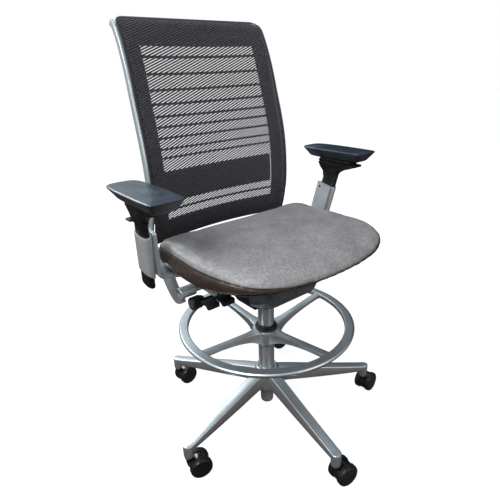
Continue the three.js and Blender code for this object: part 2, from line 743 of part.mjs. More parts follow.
// The sleeve bends into a leg that runs in under the seat to the side of the housing.
function armBracket() {
  const sleeve = ovalColumn(SLEEVE_HALF_X, SLEEVE_HALF_Y, 492, SLEEVE_TOP);
  const face = ARM_X - SLEEVE_HALF_X - 8;
  const thick = 9;
  const kink = 215;
  const legAt = (x) => 482 - 0.3 * (face - Math.max(x, kink)) - 0.4 * (kink - Math.min(x, kink));
  const legEnd = HOUSING_HALF - 30;
  const leg = frontExtrusion(shapeOf([
    [face, SLEEVE_TOP + 2], [face, 510], [face - 6, 499], [face - 16, legAt(face - 16) + thick],
    [kink, legAt(kink) + thick], [legEnd, legAt(legEnd) + thick], [legEnd, legAt(legEnd)], [kink, legAt(kink)],
    [face, legAt(face)], [face + 10, legAt(face) + 4], [face + 16, legAt(face) + 14], [face + 18, 510],
    [face + 10.5, 522], [face + 10.5, SLEEVE_TOP + 2],
  ]), ARM_Y - 24, ARM_Y + 24);
  const [boreX, boreY] = [SLEEVE_HALF_X - SLEEVE_WALL, SLEEVE_HALF_Y - SLEEVE_WALL];
  const socket = ovalColumn(boreX, boreY, SOCKET_FLOOR, SLEEVE_TOP + 10);
  const slant = frontExtrusion(shapeOf([
    [ARM_X + 4, 462], [ARM_X + 40, 462], [ARM_X + 40, 522], [ARM_X + 4, 498],
  ]), ARM_Y - 40, ARM_Y + 40);
  const screwHole = crossCylinder(2.6, face - 4, face + 4, ARM_Y + 12, SLEEVE_TOP - 8, 12);
  const bracket = leaning(cut(join(sleeve, leg), socket, slant, screwHole));
  return cut(bracket, box([-100, -100, 300], [HOUSING_HALF + GAP, 300, 600]));
}

// The fan widens from the post to the plate under the pad, mostly towards the front.
function armPost() {
  const bar = leaning(ovalColumn(
    SLEEVE_HALF_X - SLEEVE_WALL - GAP, SLEEVE_HALF_Y - SLEEVE_WALL - GAP, POST_BOTTOM, 644));
  const levels = [
    [630, 9.4, 75, 27], [643, 12, 76, 22], [656, 18, 78, -6], [665, 21, 80, -36], [FAN_TOP, 22, 81, -42],
  ];
  const fan = loft(levels.map(([z, halfX, rear, front]) => {
    const middle = (rear + front) / 2;
    return chamfered(halfX, front - middle, rear - middle, Math.min(8, halfX * 0.6)).map(([x, y]) =>
      new THREE.Vector3(ARM_X + x, middle + y, z));
  }));
  return join(bar, fan);
}

function armTrigger() {
  return box([ARM_X + 16.6, 40, 640], [ARM_X + 30, 62, 645]);
}

const PAD_HALF_OUTLINE = [
  [0, 104], [16, 103], [29, 98], [36, 84], [40, 50], [41, 0], [41, -40], [39.5, -77], [38, -97], [34, -101],
  [0, -103],
];

function padRing(z, inset) {
  const half = PAD_HALF_OUTLINE.map(([x, y]) => [Math.max(0, x * (1 - inset / 41)), y * (1 - inset / 103)]);
  const other = half.slice(1, -1).reverse().map(([x, y]) => [-x, y]);
  return [...half, ...other].map(([x, y]) => new THREE.Vector3(x, y, z));
}

function armPad() {
  const levels = [
    [PAD_BOTTOM, 20], [PAD_BOTTOM + 8, 12], [PAD_TOP - 9, 3], [PAD_TOP - 4, 0],
    [PAD_TOP - 1, 0.5], [PAD_TOP, 3], [PAD_TOP + 1, 20],
  ];
  return loft(levels.map(([z, inset]) => padRing(z, inset)));
}

function padSlide(middle) {
  const low = FAN_TOP + GAP;
  return box([ARM_X - 14, middle - 64, low], [ARM_X + 24, middle + 46, PAD_BOTTOM - GAP]);
}

function addArm(side) {
  const turn = (geometry) => (side === "left" ? geometry : mirrored(geometry));
  piece(`arm_bracket_${side}`, turn(armBracket()), silverPaint);
  piece(`arm_post_${side}`, turn(armPost()), blackPlastic);
  piece(`arm_trigger_${side}`, turn(armTrigger()), blackPlastic);
  piece(`arm_slide_${side}`, turn(padSlide(PAD_MIDDLES[side][1])), blackPlastic);
  const pad = armPad();
  pad.translate(...PAD_MIDDLES[side], 0);
  piece(`arm_pad_${side}`, pad, glossBlack);
}

// ---------------------------------------------------------------- the chair
piece("base_star", baseStar(), aluminium);
addCasters();
piece("column_tube", columnTube(), columnGrey);
piece("column_bush", columnBush(), blackPlastic);
piece("piston_rod", pistonRod(), aluminium);
piece("footring", footring(), aluminium);
piece("footring_collar", footringCollar(), blackPlastic);
addMechanism();
addSeat();
addBack();
addArm("left");
addArm("right");

export default chair;
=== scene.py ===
"""Looks of a drafting chair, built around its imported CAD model.

Lengths inside the helper functions are millimetres on the chair's own drawing: x across, y behind the
gas column and z above the drawing's datum. place() turns them into metres in the row frame.
The sitter faces -Y, so the sitter's right hand is on the -X side.
"""

from contextlib import contextmanager
from math import copysign, cos, exp, hypot, pi, radians, sin, sqrt, tan

import bmesh
import bpy
import numpy as np
from mathutils import Matrix, Vector, noise
from mathutils.bvhtree import BVHTree
from mathutils.kdtree import KDTree

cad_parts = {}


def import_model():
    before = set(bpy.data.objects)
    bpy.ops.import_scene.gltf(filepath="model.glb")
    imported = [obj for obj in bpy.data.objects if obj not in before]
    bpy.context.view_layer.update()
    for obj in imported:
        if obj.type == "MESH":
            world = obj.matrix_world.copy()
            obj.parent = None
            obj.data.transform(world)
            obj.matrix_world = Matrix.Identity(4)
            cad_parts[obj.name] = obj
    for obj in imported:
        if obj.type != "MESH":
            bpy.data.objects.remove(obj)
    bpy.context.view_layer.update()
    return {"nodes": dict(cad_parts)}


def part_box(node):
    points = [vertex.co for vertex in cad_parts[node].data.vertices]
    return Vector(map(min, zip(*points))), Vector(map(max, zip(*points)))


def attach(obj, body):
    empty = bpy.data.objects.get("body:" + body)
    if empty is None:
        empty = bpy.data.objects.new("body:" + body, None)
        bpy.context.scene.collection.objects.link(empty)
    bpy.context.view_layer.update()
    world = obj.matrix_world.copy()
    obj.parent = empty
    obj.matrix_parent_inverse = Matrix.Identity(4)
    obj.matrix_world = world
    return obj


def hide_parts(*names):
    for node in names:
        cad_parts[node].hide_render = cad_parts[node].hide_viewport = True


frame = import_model()
tube_low, tube_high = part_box("column_tube")
AXIS_Y = (tube_low.y + tube_high.y) / 2
TUBE_FOOT = 0.038
DATUM = tube_low.z - TUBE_FOOT
AXIS_RADIUS = 1e-4


def place(x, y, z):
    return Vector((x / 1000, y / 1000 + AXIS_Y, z / 1000 + DATUM))


# ------------------------------------------------------------------ camera
LENS = 31.43
CAMERA_PLACE = (-0.6511, -0.7367, 0.9158)
CAMERA_TILT = (67.273, 1.494, -39.334)


def add_camera():
    data = bpy.data.cameras.new("camera")
    data.sensor_width = 36
    data.lens = LENS
    data.clip_start = 0.02
    data.clip_end = 30
    camera = bpy.data.objects.new("camera", data)
    bpy.context.scene.collection.objects.link(camera)
    camera.location = CAMERA_PLACE
    camera.rotation_euler = [radians(angle) for angle in CAMERA_TILT]
    bpy.context.scene.camera = camera


add_camera()


# ------------------------------------------------------------------ node helpers
class Nodes:
    """Short calls for the nodes of one tree."""

    def node(self, kind, **settings):
        made = self.tree.nodes.new(kind)
        for key, value in settings.items():
            setattr(made, key, value)
        return made

    def link(self, source, target):
        self.tree.links.new(source, target)

    def ramp(self, source, stops):
        made = self.node("ShaderNodeValToRGB")
        elements = made.color_ramp.elements
        while len(elements) < len(stops):
            elements.new(0.5)
        for element, (position, colour) in zip(elements, stops):
            element.position = position
            element.color = (*colour, 1)
        self.link(source, made.inputs["Fac"])
        return made.outputs["Color"]

    def mix(self, factor, first, second, kind="MIX"):
        made = self.node("ShaderNodeMix", data_type="RGBA", blend_type=kind)
        for socket, value in zip((made.inputs[0], made.inputs[6], made.inputs[7]), (factor, first, second)):
            if isinstance(value, (int, float)):
                socket.default_value = value
            elif isinstance(value, tuple):
                socket.default_value = (*value, 1)
            else:
                self.link(value, socket)
        return made.outputs[2]


class Shader(Nodes):
    """A Principled material with short calls for its nodes."""

    def __init__(self, name, colour, roughness=0.5, metallic=0.0, **sockets):
        self.material = bpy.data.materials.new(name)
        self.material.use_nodes = True
        self.tree = self.material.node_tree
        self.shader = self.tree.nodes["Principled BSDF"]
        self.set("Base Color", (*colour, 1))
        self.set("Roughness", roughness)
        self.set("Metallic", metallic)
        for key, value in sockets.items():
            self.set(key.replace("_", " "), value)
        self.place = self.node("ShaderNodeTexCoord").outputs["Object"]

    def set(self, socket, value):
        self.shader.inputs[socket].default_value = value

    def scaled(self, scale, turn=(0, 0, 0)):
        mapping = self.node("ShaderNodeMapping")
        mapping.inputs["Scale"].default_value = scale
        mapping.inputs["Rotation"].default_value = turn
        self.link(self.place, mapping.inputs["Vector"])
        return mapping.outputs["Vector"]

    def noise(self, scale, detail=3, roughness=0.5, vector=None):
        made = self.node("ShaderNodeTexNoise")
        made.inputs["Scale"].default_value = scale
        made.inputs["Detail"].default_value = detail
        made.inputs["Roughness"].default_value = roughness
        self.link(vector or self.place, made.inputs["Vector"])
        return made.outputs["Fac"]

    def cells(self, scale, feature="F1", vector=None):
        made = self.node("ShaderNodeTexVoronoi", feature=feature)
        made.inputs["Scale"].default_value = scale
        self.link(vector or self.place, made.inputs["Vector"])
        return made.outputs["Distance"]

    def spread(self, source, low, high, to_low, to_high):
        made = self.node("ShaderNodeMapRange", clamp=True)
        for key, value in zip(("From Min", "From Max", "To Min", "To Max"), (low, high, to_low, to_high)):
            made.inputs[key].default_value = value
        self.link(source, made.inputs["Value"])
        return made.outputs["Result"]

    def maths(self, operation, first, second):
        made = self.node("ShaderNodeMath", operation=operation)
        for socket, value in zip(made.inputs, (first, second)):
            if isinstance(value, (int, float)):
                socket.default_value = value
            else:
                self.link(value, socket)
        return made.outputs[0]

    def coordinate(self, axis):
        made = self.node("ShaderNodeSeparateXYZ")
        self.link(self.place, made.inputs[0])
        return made.outputs[axis]

    def colour(self, source):
        self.link(source, self.shader.inputs["Base Color"])

    def rough(self, source):
        self.link(source, self.shader.inputs["Roughness"])

    def bump(self, height, strength, distance):
        made = self.node("ShaderNodeBump")
        made.inputs["Strength"].default_value = strength
        made.inputs["Distance"].default_value = distance
        self.link(height, made.inputs["Height"])
        self.link(made.outputs["Normal"], self.shader.inputs["Normal"])


def wear_and_sheen_blotches(shader, base, worn, scale=60):
    """A slow blotchy change of tone: wear from handling, and on the arm pads a painted sky-blue sheen."""
    return shader.mix(shader.spread(shader.noise(scale, 4), 0.45, 0.75, 0, 1), base, worn)


# ------------------------------------------------------------------ materials
def polished_metal():
    s = Shader("polished_aluminium", (0.70, 0.75, 0.78), 0.33, 0.85)
    s.colour(wear_and_sheen_blotches(s, (0.72, 0.77, 0.80), (0.64, 0.69, 0.72), 12))
    s.rough(s.spread(s.noise(30, 3), 0.3, 0.8, 0.31, 0.37))
    s.bump(s.noise(420, 2), 0.006, 0.0003)
    return s.material


def silver_paint(name="silver_paint", tint=(0.74, 0.79, 0.82)):
    s = Shader(name, tint, 0.34, 0.55, Coat_Weight=0.2, Coat_Roughness=0.25)
    lighter = tuple(min(1, channel * 1.12) for channel in tint)
    s.colour(wear_and_sheen_blotches(s, tint, lighter, 35))
    s.rough(s.spread(s.noise(150, 3), 0.3, 0.8, 0.29, 0.44))
    s.bump(s.noise(2600, 2), 0.06, 0.0003)
    return s.material


def column_paint():
    s = Shader("column_paint", (0.38, 0.39, 0.41), 0.36, 0.7)
    streaks = s.noise(60, 3, vector=s.scaled((6, 6, 0.4)))
    s.colour(s.ramp(streaks, [(0.3, (0.48, 0.49, 0.52)), (0.7, (0.62, 0.63, 0.66))]))
    s.rough(s.spread(s.noise(300), 0.3, 0.7, 0.28, 0.45))
    s.bump(s.noise(1800, 2), 0.08, 0.0003)
    return s.material


def rod_steel():
    s = Shader("rod_steel", (0.82, 0.83, 0.85), 0.08, 1.0)
    s.rough(s.spread(s.noise(500, 2, vector=s.scaled((1, 1, 12))), 0.3, 0.7, 0.06, 0.14))
    return s.material


def moulded(name, tint, roughness, grain=1500, depth=0.12, **sockets):
    """Moulded plastic: fine texture, slightly uneven gloss and dusty lighter patches."""
    s = Shader(name, tint, roughness, 0.0, **sockets)
    lighter = tuple(channel * 1.5 + 0.008 for channel in tint)
    s.colour(wear_and_sheen_blotches(s, tint, lighter, 40))
    s.rough(s.spread(s.noise(90, 4), 0.3, 0.75, roughness * 0.85, min(1, roughness * 1.25)))
    s.bump(s.cells(grain), depth, 0.0003)
    return s.material


def pad_skin():
    # The skin's blue tint and its paler blue blotches are a painted sky-blue sheen on a near-black skin.
    s = Shader("pad_skin", (0.03, 0.042, 0.062), 0.34, 0.0, Coat_Weight=0.55, Coat_Roughness=0.3)
    s.colour(wear_and_sheen_blotches(s, (0.018, 0.028, 0.046), (0.075, 0.11, 0.165), 16))
    s.rough(s.spread(s.noise(45, 5), 0.3, 0.75, 0.30, 0.48))
    s.bump(s.cells(1300), 0.16, 0.0004)
    return s.material


def leather(name, dark, light, creases, gloss):
    """Grained leather: pebbles of about a millimetre, creases, and a mottled tone with paler specks."""
    s = Shader(name, dark, gloss, 0.0, Specular_IOR_Level=0.6, Coat_Weight=0.12, Coat_Roughness=0.32)
    mottle = s.noise(14, 6, 0.62)
    speck = s.noise(420, 3, 0.7)
    tone = s.mix(s.spread(mottle, 0.32, 0.7, 0, 1), dark, light)
    pale = tuple(channel * 1.45 + 0.02 for channel in light)
    tone = s.mix(s.spread(speck, 0.52, 0.78, 0, 0.55), tone, pale)
    grain = s.noise(190, 2, 0.6)
    tone = s.mix(s.spread(grain, 0.38, 0.62, 0.42, 0), tone, tuple(channel * 0.45 for channel in dark))
    s.colour(tone)
    pebbles = s.cells(620, "SMOOTH_F1")
    folds = s.noise(38, 5, 0.6, s.scaled((1, 2.2, 1), (0, 0, 0.5)))
    height = s.maths("ADD", s.maths("MULTIPLY", pebbles, 0.55), s.maths("MULTIPLY", folds, creases))
    s.rough(s.spread(s.noise(300, 3, 0.6), 0.3, 0.75, gloss * 0.82, gloss * 1.25))
    s.bump(height, 0.42, 0.0011)
    return s


def leather_top():
    s = leather("leather_top", (0.275, 0.255, 0.258), (0.435, 0.412, 0.418), 1.1, 0.42)
    # Paler and beige towards the rear of the top, in blotches.
    back = s.spread(s.coordinate("Y"), 0.055, 0.135, 0, 1)
    paler_rear = s.maths("MULTIPLY", back, s.spread(s.noise(9, 4), 0.35, 0.6, 0.25, 0.85))
    source = s.shader.inputs["Base Color"].links[0].from_socket
    s.colour(s.mix(paler_rear, source, (0.36, 0.34, 0.31)))
    return s.material


def leather_band():
    return leather("leather_band", (0.040, 0.027, 0.022), (0.082, 0.056, 0.044), 0.7, 0.30).material


def thread(name, tint):
    s = Shader(name, tint, 0.6, 0.0, Sheen_Weight=0.3)
    s.colour(wear_and_sheen_blotches(s, tint, tuple(min(1, channel * 1.3) for channel in tint), 300))
    s.bump(s.noise(3000, 2, vector=s.scaled((3, 1, 1))), 0.3, 0.0003)
    return s.material


def knit_yarn(name, tint, gleam):
    """Yarn of a knit: dark, faintly lustrous, with a fibre bump."""
    s = Shader(name, tint, 0.55, 0.0, Sheen_Weight=gleam, Sheen_Roughness=0.4)
    s.colour(wear_and_sheen_blotches(s, tint, tuple(channel * 1.9 + 0.01 for channel in tint), 500))
    s.bump(s.noise(2500, 3), 0.35, 0.0004)
    return s.material


M = {
    "polished": polished_metal(),
    "silver": silver_paint(),
    "pale_silver": silver_paint("frame_silver", (0.66, 0.73, 0.75)),
    "column": column_paint(),
    "rod": rod_steel(),
    "cover": moulded("cover_grey", (0.085, 0.095, 0.115), 0.34, 1800, 0.05,
                     Coat_Weight=0.4, Coat_Roughness=0.2),
    "black": moulded("black_plastic", (0.007, 0.007, 0.008), 0.42, Specular_IOR_Level=0.4),
    "gloss": moulded("gloss_black", (0.005, 0.006, 0.008), 0.17, 900, 0.03,
                     Coat_Weight=0.5, Coat_Roughness=0.08),
    "tread": moulded("tread_black", (0.009, 0.009, 0.010), 0.45, 1200, 0.12, Specular_IOR_Level=0.4),
    "disc": moulded("dial_disc", (0.10, 0.075, 0.062), 0.24, 900, 0.04, Coat_Weight=0.4, Coat_Roughness=0.15),
    "pad": pad_skin(),
    "leather_top": leather_top(),
    "leather_band": leather_band(),
    "welt": leather("leather_welt", (0.035, 0.025, 0.022), (0.07, 0.052, 0.045), 0.3, 0.36).material,
    "stitch": thread("stitch_thread", (0.34, 0.30, 0.27)),
    "rib": knit_yarn("knit_rib", (0.014, 0.013, 0.019), 0.35),
    "net": knit_yarn("knit_net", (0.17, 0.165, 0.19), 0.5),
    "hem": knit_yarn("knit_hem", (0.018, 0.018, 0.024), 0.25),
    "lumbar": moulded("lumbar_plastic", (0.014, 0.015, 0.022), 0.45),
}


# ------------------------------------------------------------------ mesh helpers
def finish_piece(name, mesh, materials, body, nodes=(), smooth=radians(32)):
    """Links a mesh as a piece: smooth shaded except at sharp edges, riding on a body."""
    mesh.validate()
    for key in materials:
        mesh.materials.append(M[key])
    obj = bpy.data.objects.new(name, mesh)
    bpy.context.scene.collection.objects.link(obj)
    mesh.polygons.foreach_set("use_smooth", [True] * len(mesh.polygons))
    if smooth:
        mesh.set_sharp_from_angle(angle=smooth)
    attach(obj, body)
    if nodes:
        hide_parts(*nodes)
    return obj


def moved(x, y, z):
    return Matrix.Translation((x, y, z))


def turned(degrees, axis):
    return Matrix.Rotation(radians(degrees), 4, axis)


def turns(sides):
    return [2 * pi * j / sides for j in range(sides)]


@contextmanager
def edited(mesh):
    """A bmesh of the mesh, written back to it at the end."""
    work = bmesh.new()
    work.from_mesh(mesh)
    yield work
    work.to_mesh(mesh)
    work.free()


def round_edges(work, angle, width, segments=2):
    """Bevels the edges sharper than angle; the width is in millimetres."""
    sharp = [e for e in work.edges if e.is_manifold and e.calc_face_angle(0) > angle]
    bmesh.ops.bevel(work, geom=sharp, offset=width / 1000, segments=segments, profile=0.5,
                    affect="EDGES", clamp_overlap=True)


def raw_mesh(name, points, faces):
    mesh = bpy.data.meshes.new(name)
    mesh.from_pydata(points, [], faces)
    return mesh


class Build:
    """Collects vertices (drawing millimetres) and faces, and makes one piece of them."""

    def __init__(self):
        self.points, self.faces, self.paints = [], [], []
        self.matrix = Matrix.Identity(4)
        self.paint = 0

    def add(self, points, faces):
        start = len(self.points)
        self.points += [self.matrix @ Vector(p) for p in points]
        flip = self.matrix.determinant() < 0
        for face in faces:
            shifted = [start + i for i in face]
            self.faces.append(shifted[::-1] if flip else shifted)
            self.paints.append(self.paint)

    def loft(self, rings, caps=True, closed=True):
        """Rings of points joined in order; each ring runs the same way round. Strip caps suit a bent slab."""
        count = len(rings[0])
        points = [p for ring in rings for p in ring]
        faces = []
        for i in range(len(rings) - 1):
            for j in range(count if closed else count - 1):
                k = (j + 1) % count
                a, b = i * count, (i + 1) * count
                faces.append((a + j, a + k, b + k, b + j))
        last = (len(rings) - 1) * count
        if caps == "strip":
            for i in range(count // 2 - 1):
                quad = (i, i + 1, count - 2 - i, count - 1 - i)
                faces += [quad[::-1], tuple(last + j for j in quad)]
        elif caps:
            faces.append(tuple(range(count))[::-1])
            faces.append(tuple(range(last, last + count)))
        self.add(points, faces)

    def lathe(self, profile, sides=64):
        """A profile of (radius, height) turned about Z; off the axis it is closed to its start."""
        rings = []
        for radius, height in profile:
            reach = max(radius, AXIS_RADIUS)
            rings.append([(reach * cos(angle), reach * sin(angle), height) for angle in turns(sides)])
        if profile[0][0] > 0:
            rings.append(rings[0])
        self.loft(rings, caps=False)

    def piece(self, name, materials, body, nodes=(), smooth=radians(32), bevel=0, merge=0.02):
        mesh = raw_mesh(name, [place(*p) for p in self.points], self.faces)
        mesh.polygons.foreach_set("material_index", self.paints)
        with edited(mesh) as work:
            bmesh.ops.remove_doubles(work, verts=work.verts, dist=merge / 1000)
            bmesh.ops.dissolve_degenerate(work, edges=work.edges, dist=1e-6)
            bmesh.ops.recalc_face_normals(work, faces=work.faces)
            if bevel:
                round_edges(work, 0.5, bevel)
        return finish_piece(name, mesh, materials, body, nodes, smooth)


def refined(node, name, materials, body, bevel=1.0, smooth=radians(32), segments=2):
    """A CAD node's shape with its coplanar facets joined and its edges rounded."""
    mesh = frame["nodes"][node].data.copy()
    mesh.name = name
    mesh.materials.clear()
    with edited(mesh) as work:
        bmesh.ops.remove_doubles(work, verts=work.verts, dist=2e-5)
        bmesh.ops.dissolve_limit(work, angle_limit=radians(3), verts=work.verts, edges=work.edges)
        if bevel:
            round_edges(work, radians(24), bevel, segments)
        for face in work.faces:
            face.material_index = 0
    return finish_piece(name, mesh, materials, body, [node], smooth)


def catmull(points, samples):
    """Points along a smooth curve through the given ones (tuples of any length)."""
    given = [np.array(p, float) for p in points]
    given = [2 * given[0] - given[1], *given, 2 * given[-1] - given[-2]]
    out = []
    spans = len(given) - 3
    for n in range(samples + 1):
        t = n / samples * spans
        i = min(int(t), spans - 1)
        f = t - i
        a, b, c, d = given[i:i + 4]
        out.append(0.5 * (2 * b + (c - a) * f + (2 * a - 5 * b + 4 * c - d) * f * f
                          + (3 * b - a - 3 * c + d) * f ** 3))
    return out


def eased(points, samples):
    """Like catmull, without overshoot: straight between points, softened at them."""
    given = np.array(points, float)
    t = np.linspace(0, len(given) - 1, samples + 1)
    lines = np.array([np.interp(t, np.arange(len(given)), given[:, k]) for k in range(given.shape[1])]).T
    smooth = lines.copy()
    for _ in range(3):
        smooth[1:-1] = (smooth[:-2] + 2 * smooth[1:-1] + smooth[2:]) / 4
    return [row for row in smooth]


def rounded(half_x, low, high, radius, steps=4, top_radius=None):
    """A rectangle with round corners, as (across, up) pairs, anticlockwise."""
    out = []
    upper = radius if top_radius is None else top_radius
    corners = ((half_x, low, radius, -90), (half_x, high, upper, 0), (-half_x, high, upper, 90),
               (-half_x, low, radius, 180))
    for x, z, r, start in corners:
        cx = x - copysign(r, x)
        cz = z + (r if z == low else -r)
        for step in range(steps + 1):
            angle = radians(start + 90 * step / steps)
            out.append((cx + r * cos(angle), cz + r * sin(angle)))
    return out


def spaced(low, high, count):
    return [low + (high - low) * i / count for i in range(count + 1)]


def neighbours(path, i):
    return path[max(0, i - 1)], path[min(len(path) - 1, i + 1)]


def smoothed_loop(path, rounds):
    for _ in range(rounds):
        path = [(path[i - 1] + path[i] * 2 + path[(i + 1) % len(path)]) / 4 for i in range(len(path))]
    return path


def filleted(profile, radius, steps=4):
    """A polyline of (radius, height) with its inner corners rounded off."""
    out = [profile[0]]
    for before, here, after in zip(profile, profile[1:], profile[2:]):
        b, h, a = Vector(before), Vector(here), Vector(after)
        reach = min(radius, (b - h).length * 0.45, (a - h).length * 0.45)
        start = h + (b - h).normalized() * reach
        end = h + (a - h).normalized() * reach
        for step in range(steps + 1):
            t = step / steps
            point = start * (1 - t) ** 2 + h * 2 * t * (1 - t) + end * t * t
            out.append((point.x, point.y))
    return [*out, profile[-1]]


# ------------------------------------------------------------------ base and casters
LEG_ANGLES = [45.3 + 72 * i for i in range(5)]
LEG_RADIUS = 294.7
HEADINGS = [-8, 4, -14, -8, 10]
TRAIL, WHEEL_HEIGHT, WEB_RADIUS = 24, 31.5, 20.4


def base_star():
    b = Build()
    b.lathe(filleted([(0, 88), (32, 88), (36, 96), (36, 146), (29, 158), (22, 158.4), (22, 90)], 3)[:-1]
            + [(22, 88.2), (0, 88.1)], 72)
    for degrees in LEG_ANGLES:
        b.matrix = turned(degrees, "Z")
        stations = eased([(14, 16, 106, 151.5), (60, 14.5, 104, 145), (130, 13.5, 96, 131),
                          (220, 12.8, 89, 114), (284, 12.4, 85.5, 102.6)], 20)
        for dx in (10, 14, 17.5, 20, 21.8, 22.8):
            half = 12.4 * sqrt(max(0.0, 1 - ((dx - 10.7) / 12.4) ** 2)) if dx > 10.7 else 12.4
            stations.append((284 + dx, max(half, 1.2), 85.5, 101))
        rings = []
        for x, half, low, high in stations:
            corner = min(2.6, half * 0.45)
            section = rounded(half, low, high, min(2, half * 0.4), 3, corner)
            rings.append([(x, y, z) for y, z in section])
        b.loft(rings)
        b.matrix = b.matrix @ moved(LEG_RADIUS, 0, 0)
        b.lathe(filleted([(6, 64), (10.6, 64), (12.2, 70), (12.4, 99), (0, 99)], 1.2)
                + [(0, 86), (6, 86), (6, 64)], 32)
    b.piece("base_star_casting", ["polished"], "base", ["base_star"])


def gas_column():
    b = Build()
    b.lathe(filleted([(0, 38), (12, 38), (16.8, 41), (18, 46), (18, 88), (21.5, 150), (21.5, 345),
                      (16, 345), (16, 91), (0, 91)], 1.2), 64)
    for height, inside in ((52, 17.7), (338, 21.2)):
        outside = 18.4 if height == 52 else 21.9
        b.lathe([(inside, height - 0.6), (outside, height - 0.3),
                 (outside, height + 0.3), (inside, height + 0.6)])
    b.piece("column_tube_shell", ["column"], "base", ["column_tube"])
    b = Build()
    b.lathe(filleted([(14.3, 345.3), (22.2, 345.3), (22.2, 356), (19.5, 360), (14.3, 360)], 1), 64)
    b.piece("column_bush_ring", ["black"], "base", ["column_bush"])
    b = Build()
    b.lathe(filleted([(0, 92), (14, 92), (14, 412), (13, 430), (0, 430)], 0.6), 48)
    b.piece("piston_rod_steel", ["rod"], "piston", ["piston_rod"])


def caster_matrix(i):
    angle = radians(LEG_ANGLES[i])
    stem = Matrix.Translation((LEG_RADIUS * cos(angle), LEG_RADIUS * sin(angle), 0))
    return stem @ turned(HEADINGS[i], "Z")


def caster(i):
    swivel = caster_matrix(i)
    b = Build()
    b.matrix = swivel
    rings = []
    for step in range(41):
        angle = radians(-46 + 272 * step / 40)
        ring = []
        for across, out in ((-7.6, 20), (-7.6, 24.4), (-6.8, 25.2), (0, 25.5),
                            (6.8, 25.2), (7.6, 24.4), (7.6, 20)):
            ring.append((TRAIL + out * cos(angle), across, WHEEL_HEIGHT + out * sin(angle)))
        rings.append(ring)
    b.loft(rings)
    web = [(TRAIL + WEB_RADIUS * cos(radians(a)), WHEEL_HEIGHT + WEB_RADIUS * sin(radians(a)))
           for a in range(0, 360, 9)]
    b.loft([[(x, y, z) for x, z in web] for y in (-6.6, 6.6)])
    b.lathe(filleted([(0, 50), (7.6, 50), (7.6, 59), (10.4, 60.2), (10.4, 63.7), (0, 63.7)], 0.8), 32)
    b.lathe([(0, 60), (5.4, 60), (5.4, 84), (0, 84)], 24)
    b.matrix = swivel @ moved(TRAIL, 0, WHEEL_HEIGHT) @ turned(90, "X")
    b.lathe([(0, -16.9), (4, -16.9), (4, 16.9), (0, 16.9)], 20)
    b.piece(f"caster_hood_shell_{i + 1}", ["gloss"], f"caster_{i + 1}", [f"caster_hood_{i + 1}"])
    for letter, side in (("a", 1), ("b", -1)):
        wheel = Build()
        wheel.matrix = (swivel @ moved(TRAIL, 0, WHEEL_HEIGHT)
                        @ turned(-side * 90, "X"))
        rim = filleted([(0, 17.6), (4.4, 17.6), (4.4, 8.4), (26.6, 8.4),
                        (28, 10), (28, 18.6), (26.8, 21.6)], 1.0)
        wheel.lathe(rim + [(26.2, 22.0)], 48)
        wheel.paint = 1
        wheel.lathe(filleted([(26.2, 22.0), (25.2, 22.4), (24.6, 23.7), (22.0, 24.3), (12.0, 24.1),
                              (11.0, 23.5), (5.0, 23.4), (0, 23.5)], 0.6, 3), 48)
        wheel.piece(f"caster_wheel_rim_{i + 1}{letter}", ["tread", "gloss"], f"wheel_{i + 1}{letter}",
                    [f"caster_wheel_{i + 1}{letter}"])


# ------------------------------------------------------------------ foot ring
def footring():
    b = Build()
    rim = filleted([(206, 291.2), (224.5, 291.0), (228.6, 296.5), (229.0, 300.5), (226.0, 303.7),
                    (222.5, 304), (207.0, 304), (204.6, 302.4), (204.4, 293), (206, 291.2)], 1.3, 3)
    b.lathe(rim[1:], 176)
    b.lathe(filleted([(27.4, 243), (33, 242), (36, 245), (36, 277),
                      (34.5, 281), (30, 282), (27.4, 282)], 1.6, 3), 72)
    for i in range(4):
        b.matrix = turned(2.5 + 90 * i, "Z")
        stations = eased([(28, 19, 244, 282), (38, 15, 248.5, 282.2), (60, 10.6, 262, 284.5),
                          (100, 9.4, 274, 289.5), (150, 9.4, 284, 295), (208, 9.4, 289.5, 301.6)], 26)
        b.loft([[(x, y, z) for y, z in rounded(half, low, high, 2.2, 3, 1.8)]
                for x, half, low, high in stations])
        b.matrix = b.matrix @ moved(213, 0, 0)
        b.lathe(filleted([(0, 284.5), (5.4, 284.5), (6, 286), (6.4, 292), (0, 292)], 0.8, 3), 28)
    b.piece("footring_casting", ["polished"], "ring", ["footring"])
    b = Build()
    b.lathe(filleted([(21.8, 235), (25.5, 235), (27, 237), (27, 282.3), (29.4, 282.3), (29.4, 286),
                      (27.6, 287), (27.6, 290.5), (25.6, 291.5), (24.6, 294), (21.8, 294)], 0.7, 3), 64)
    b.piece("footring_collar_sleeve", ["black"], "collar", ["footring_collar"])


# ------------------------------------------------------------------ mechanism
PIVOT = (82, 420)


def cross_matrix(y, z):
    """Turns a lathe's axis from Z to X, on the axis at (y, z)."""
    return moved(0, y, z) @ turned(90, "Y")


def cover_section(y, half, low, high, radius, steps=7):
    out = [(half, y, high)]
    for step in range(steps + 1):
        angle = pi / 2 * step / steps
        out.append((half - radius + radius * cos(angle), y, low + radius - radius * sin(angle)))
    for step in range(steps + 1):
        angle = pi / 2 * (1 - step / steps)
        out.append((radius - half - radius * cos(angle), y, low + radius - radius * sin(angle)))
    out.append((-half, y, high))
    return out


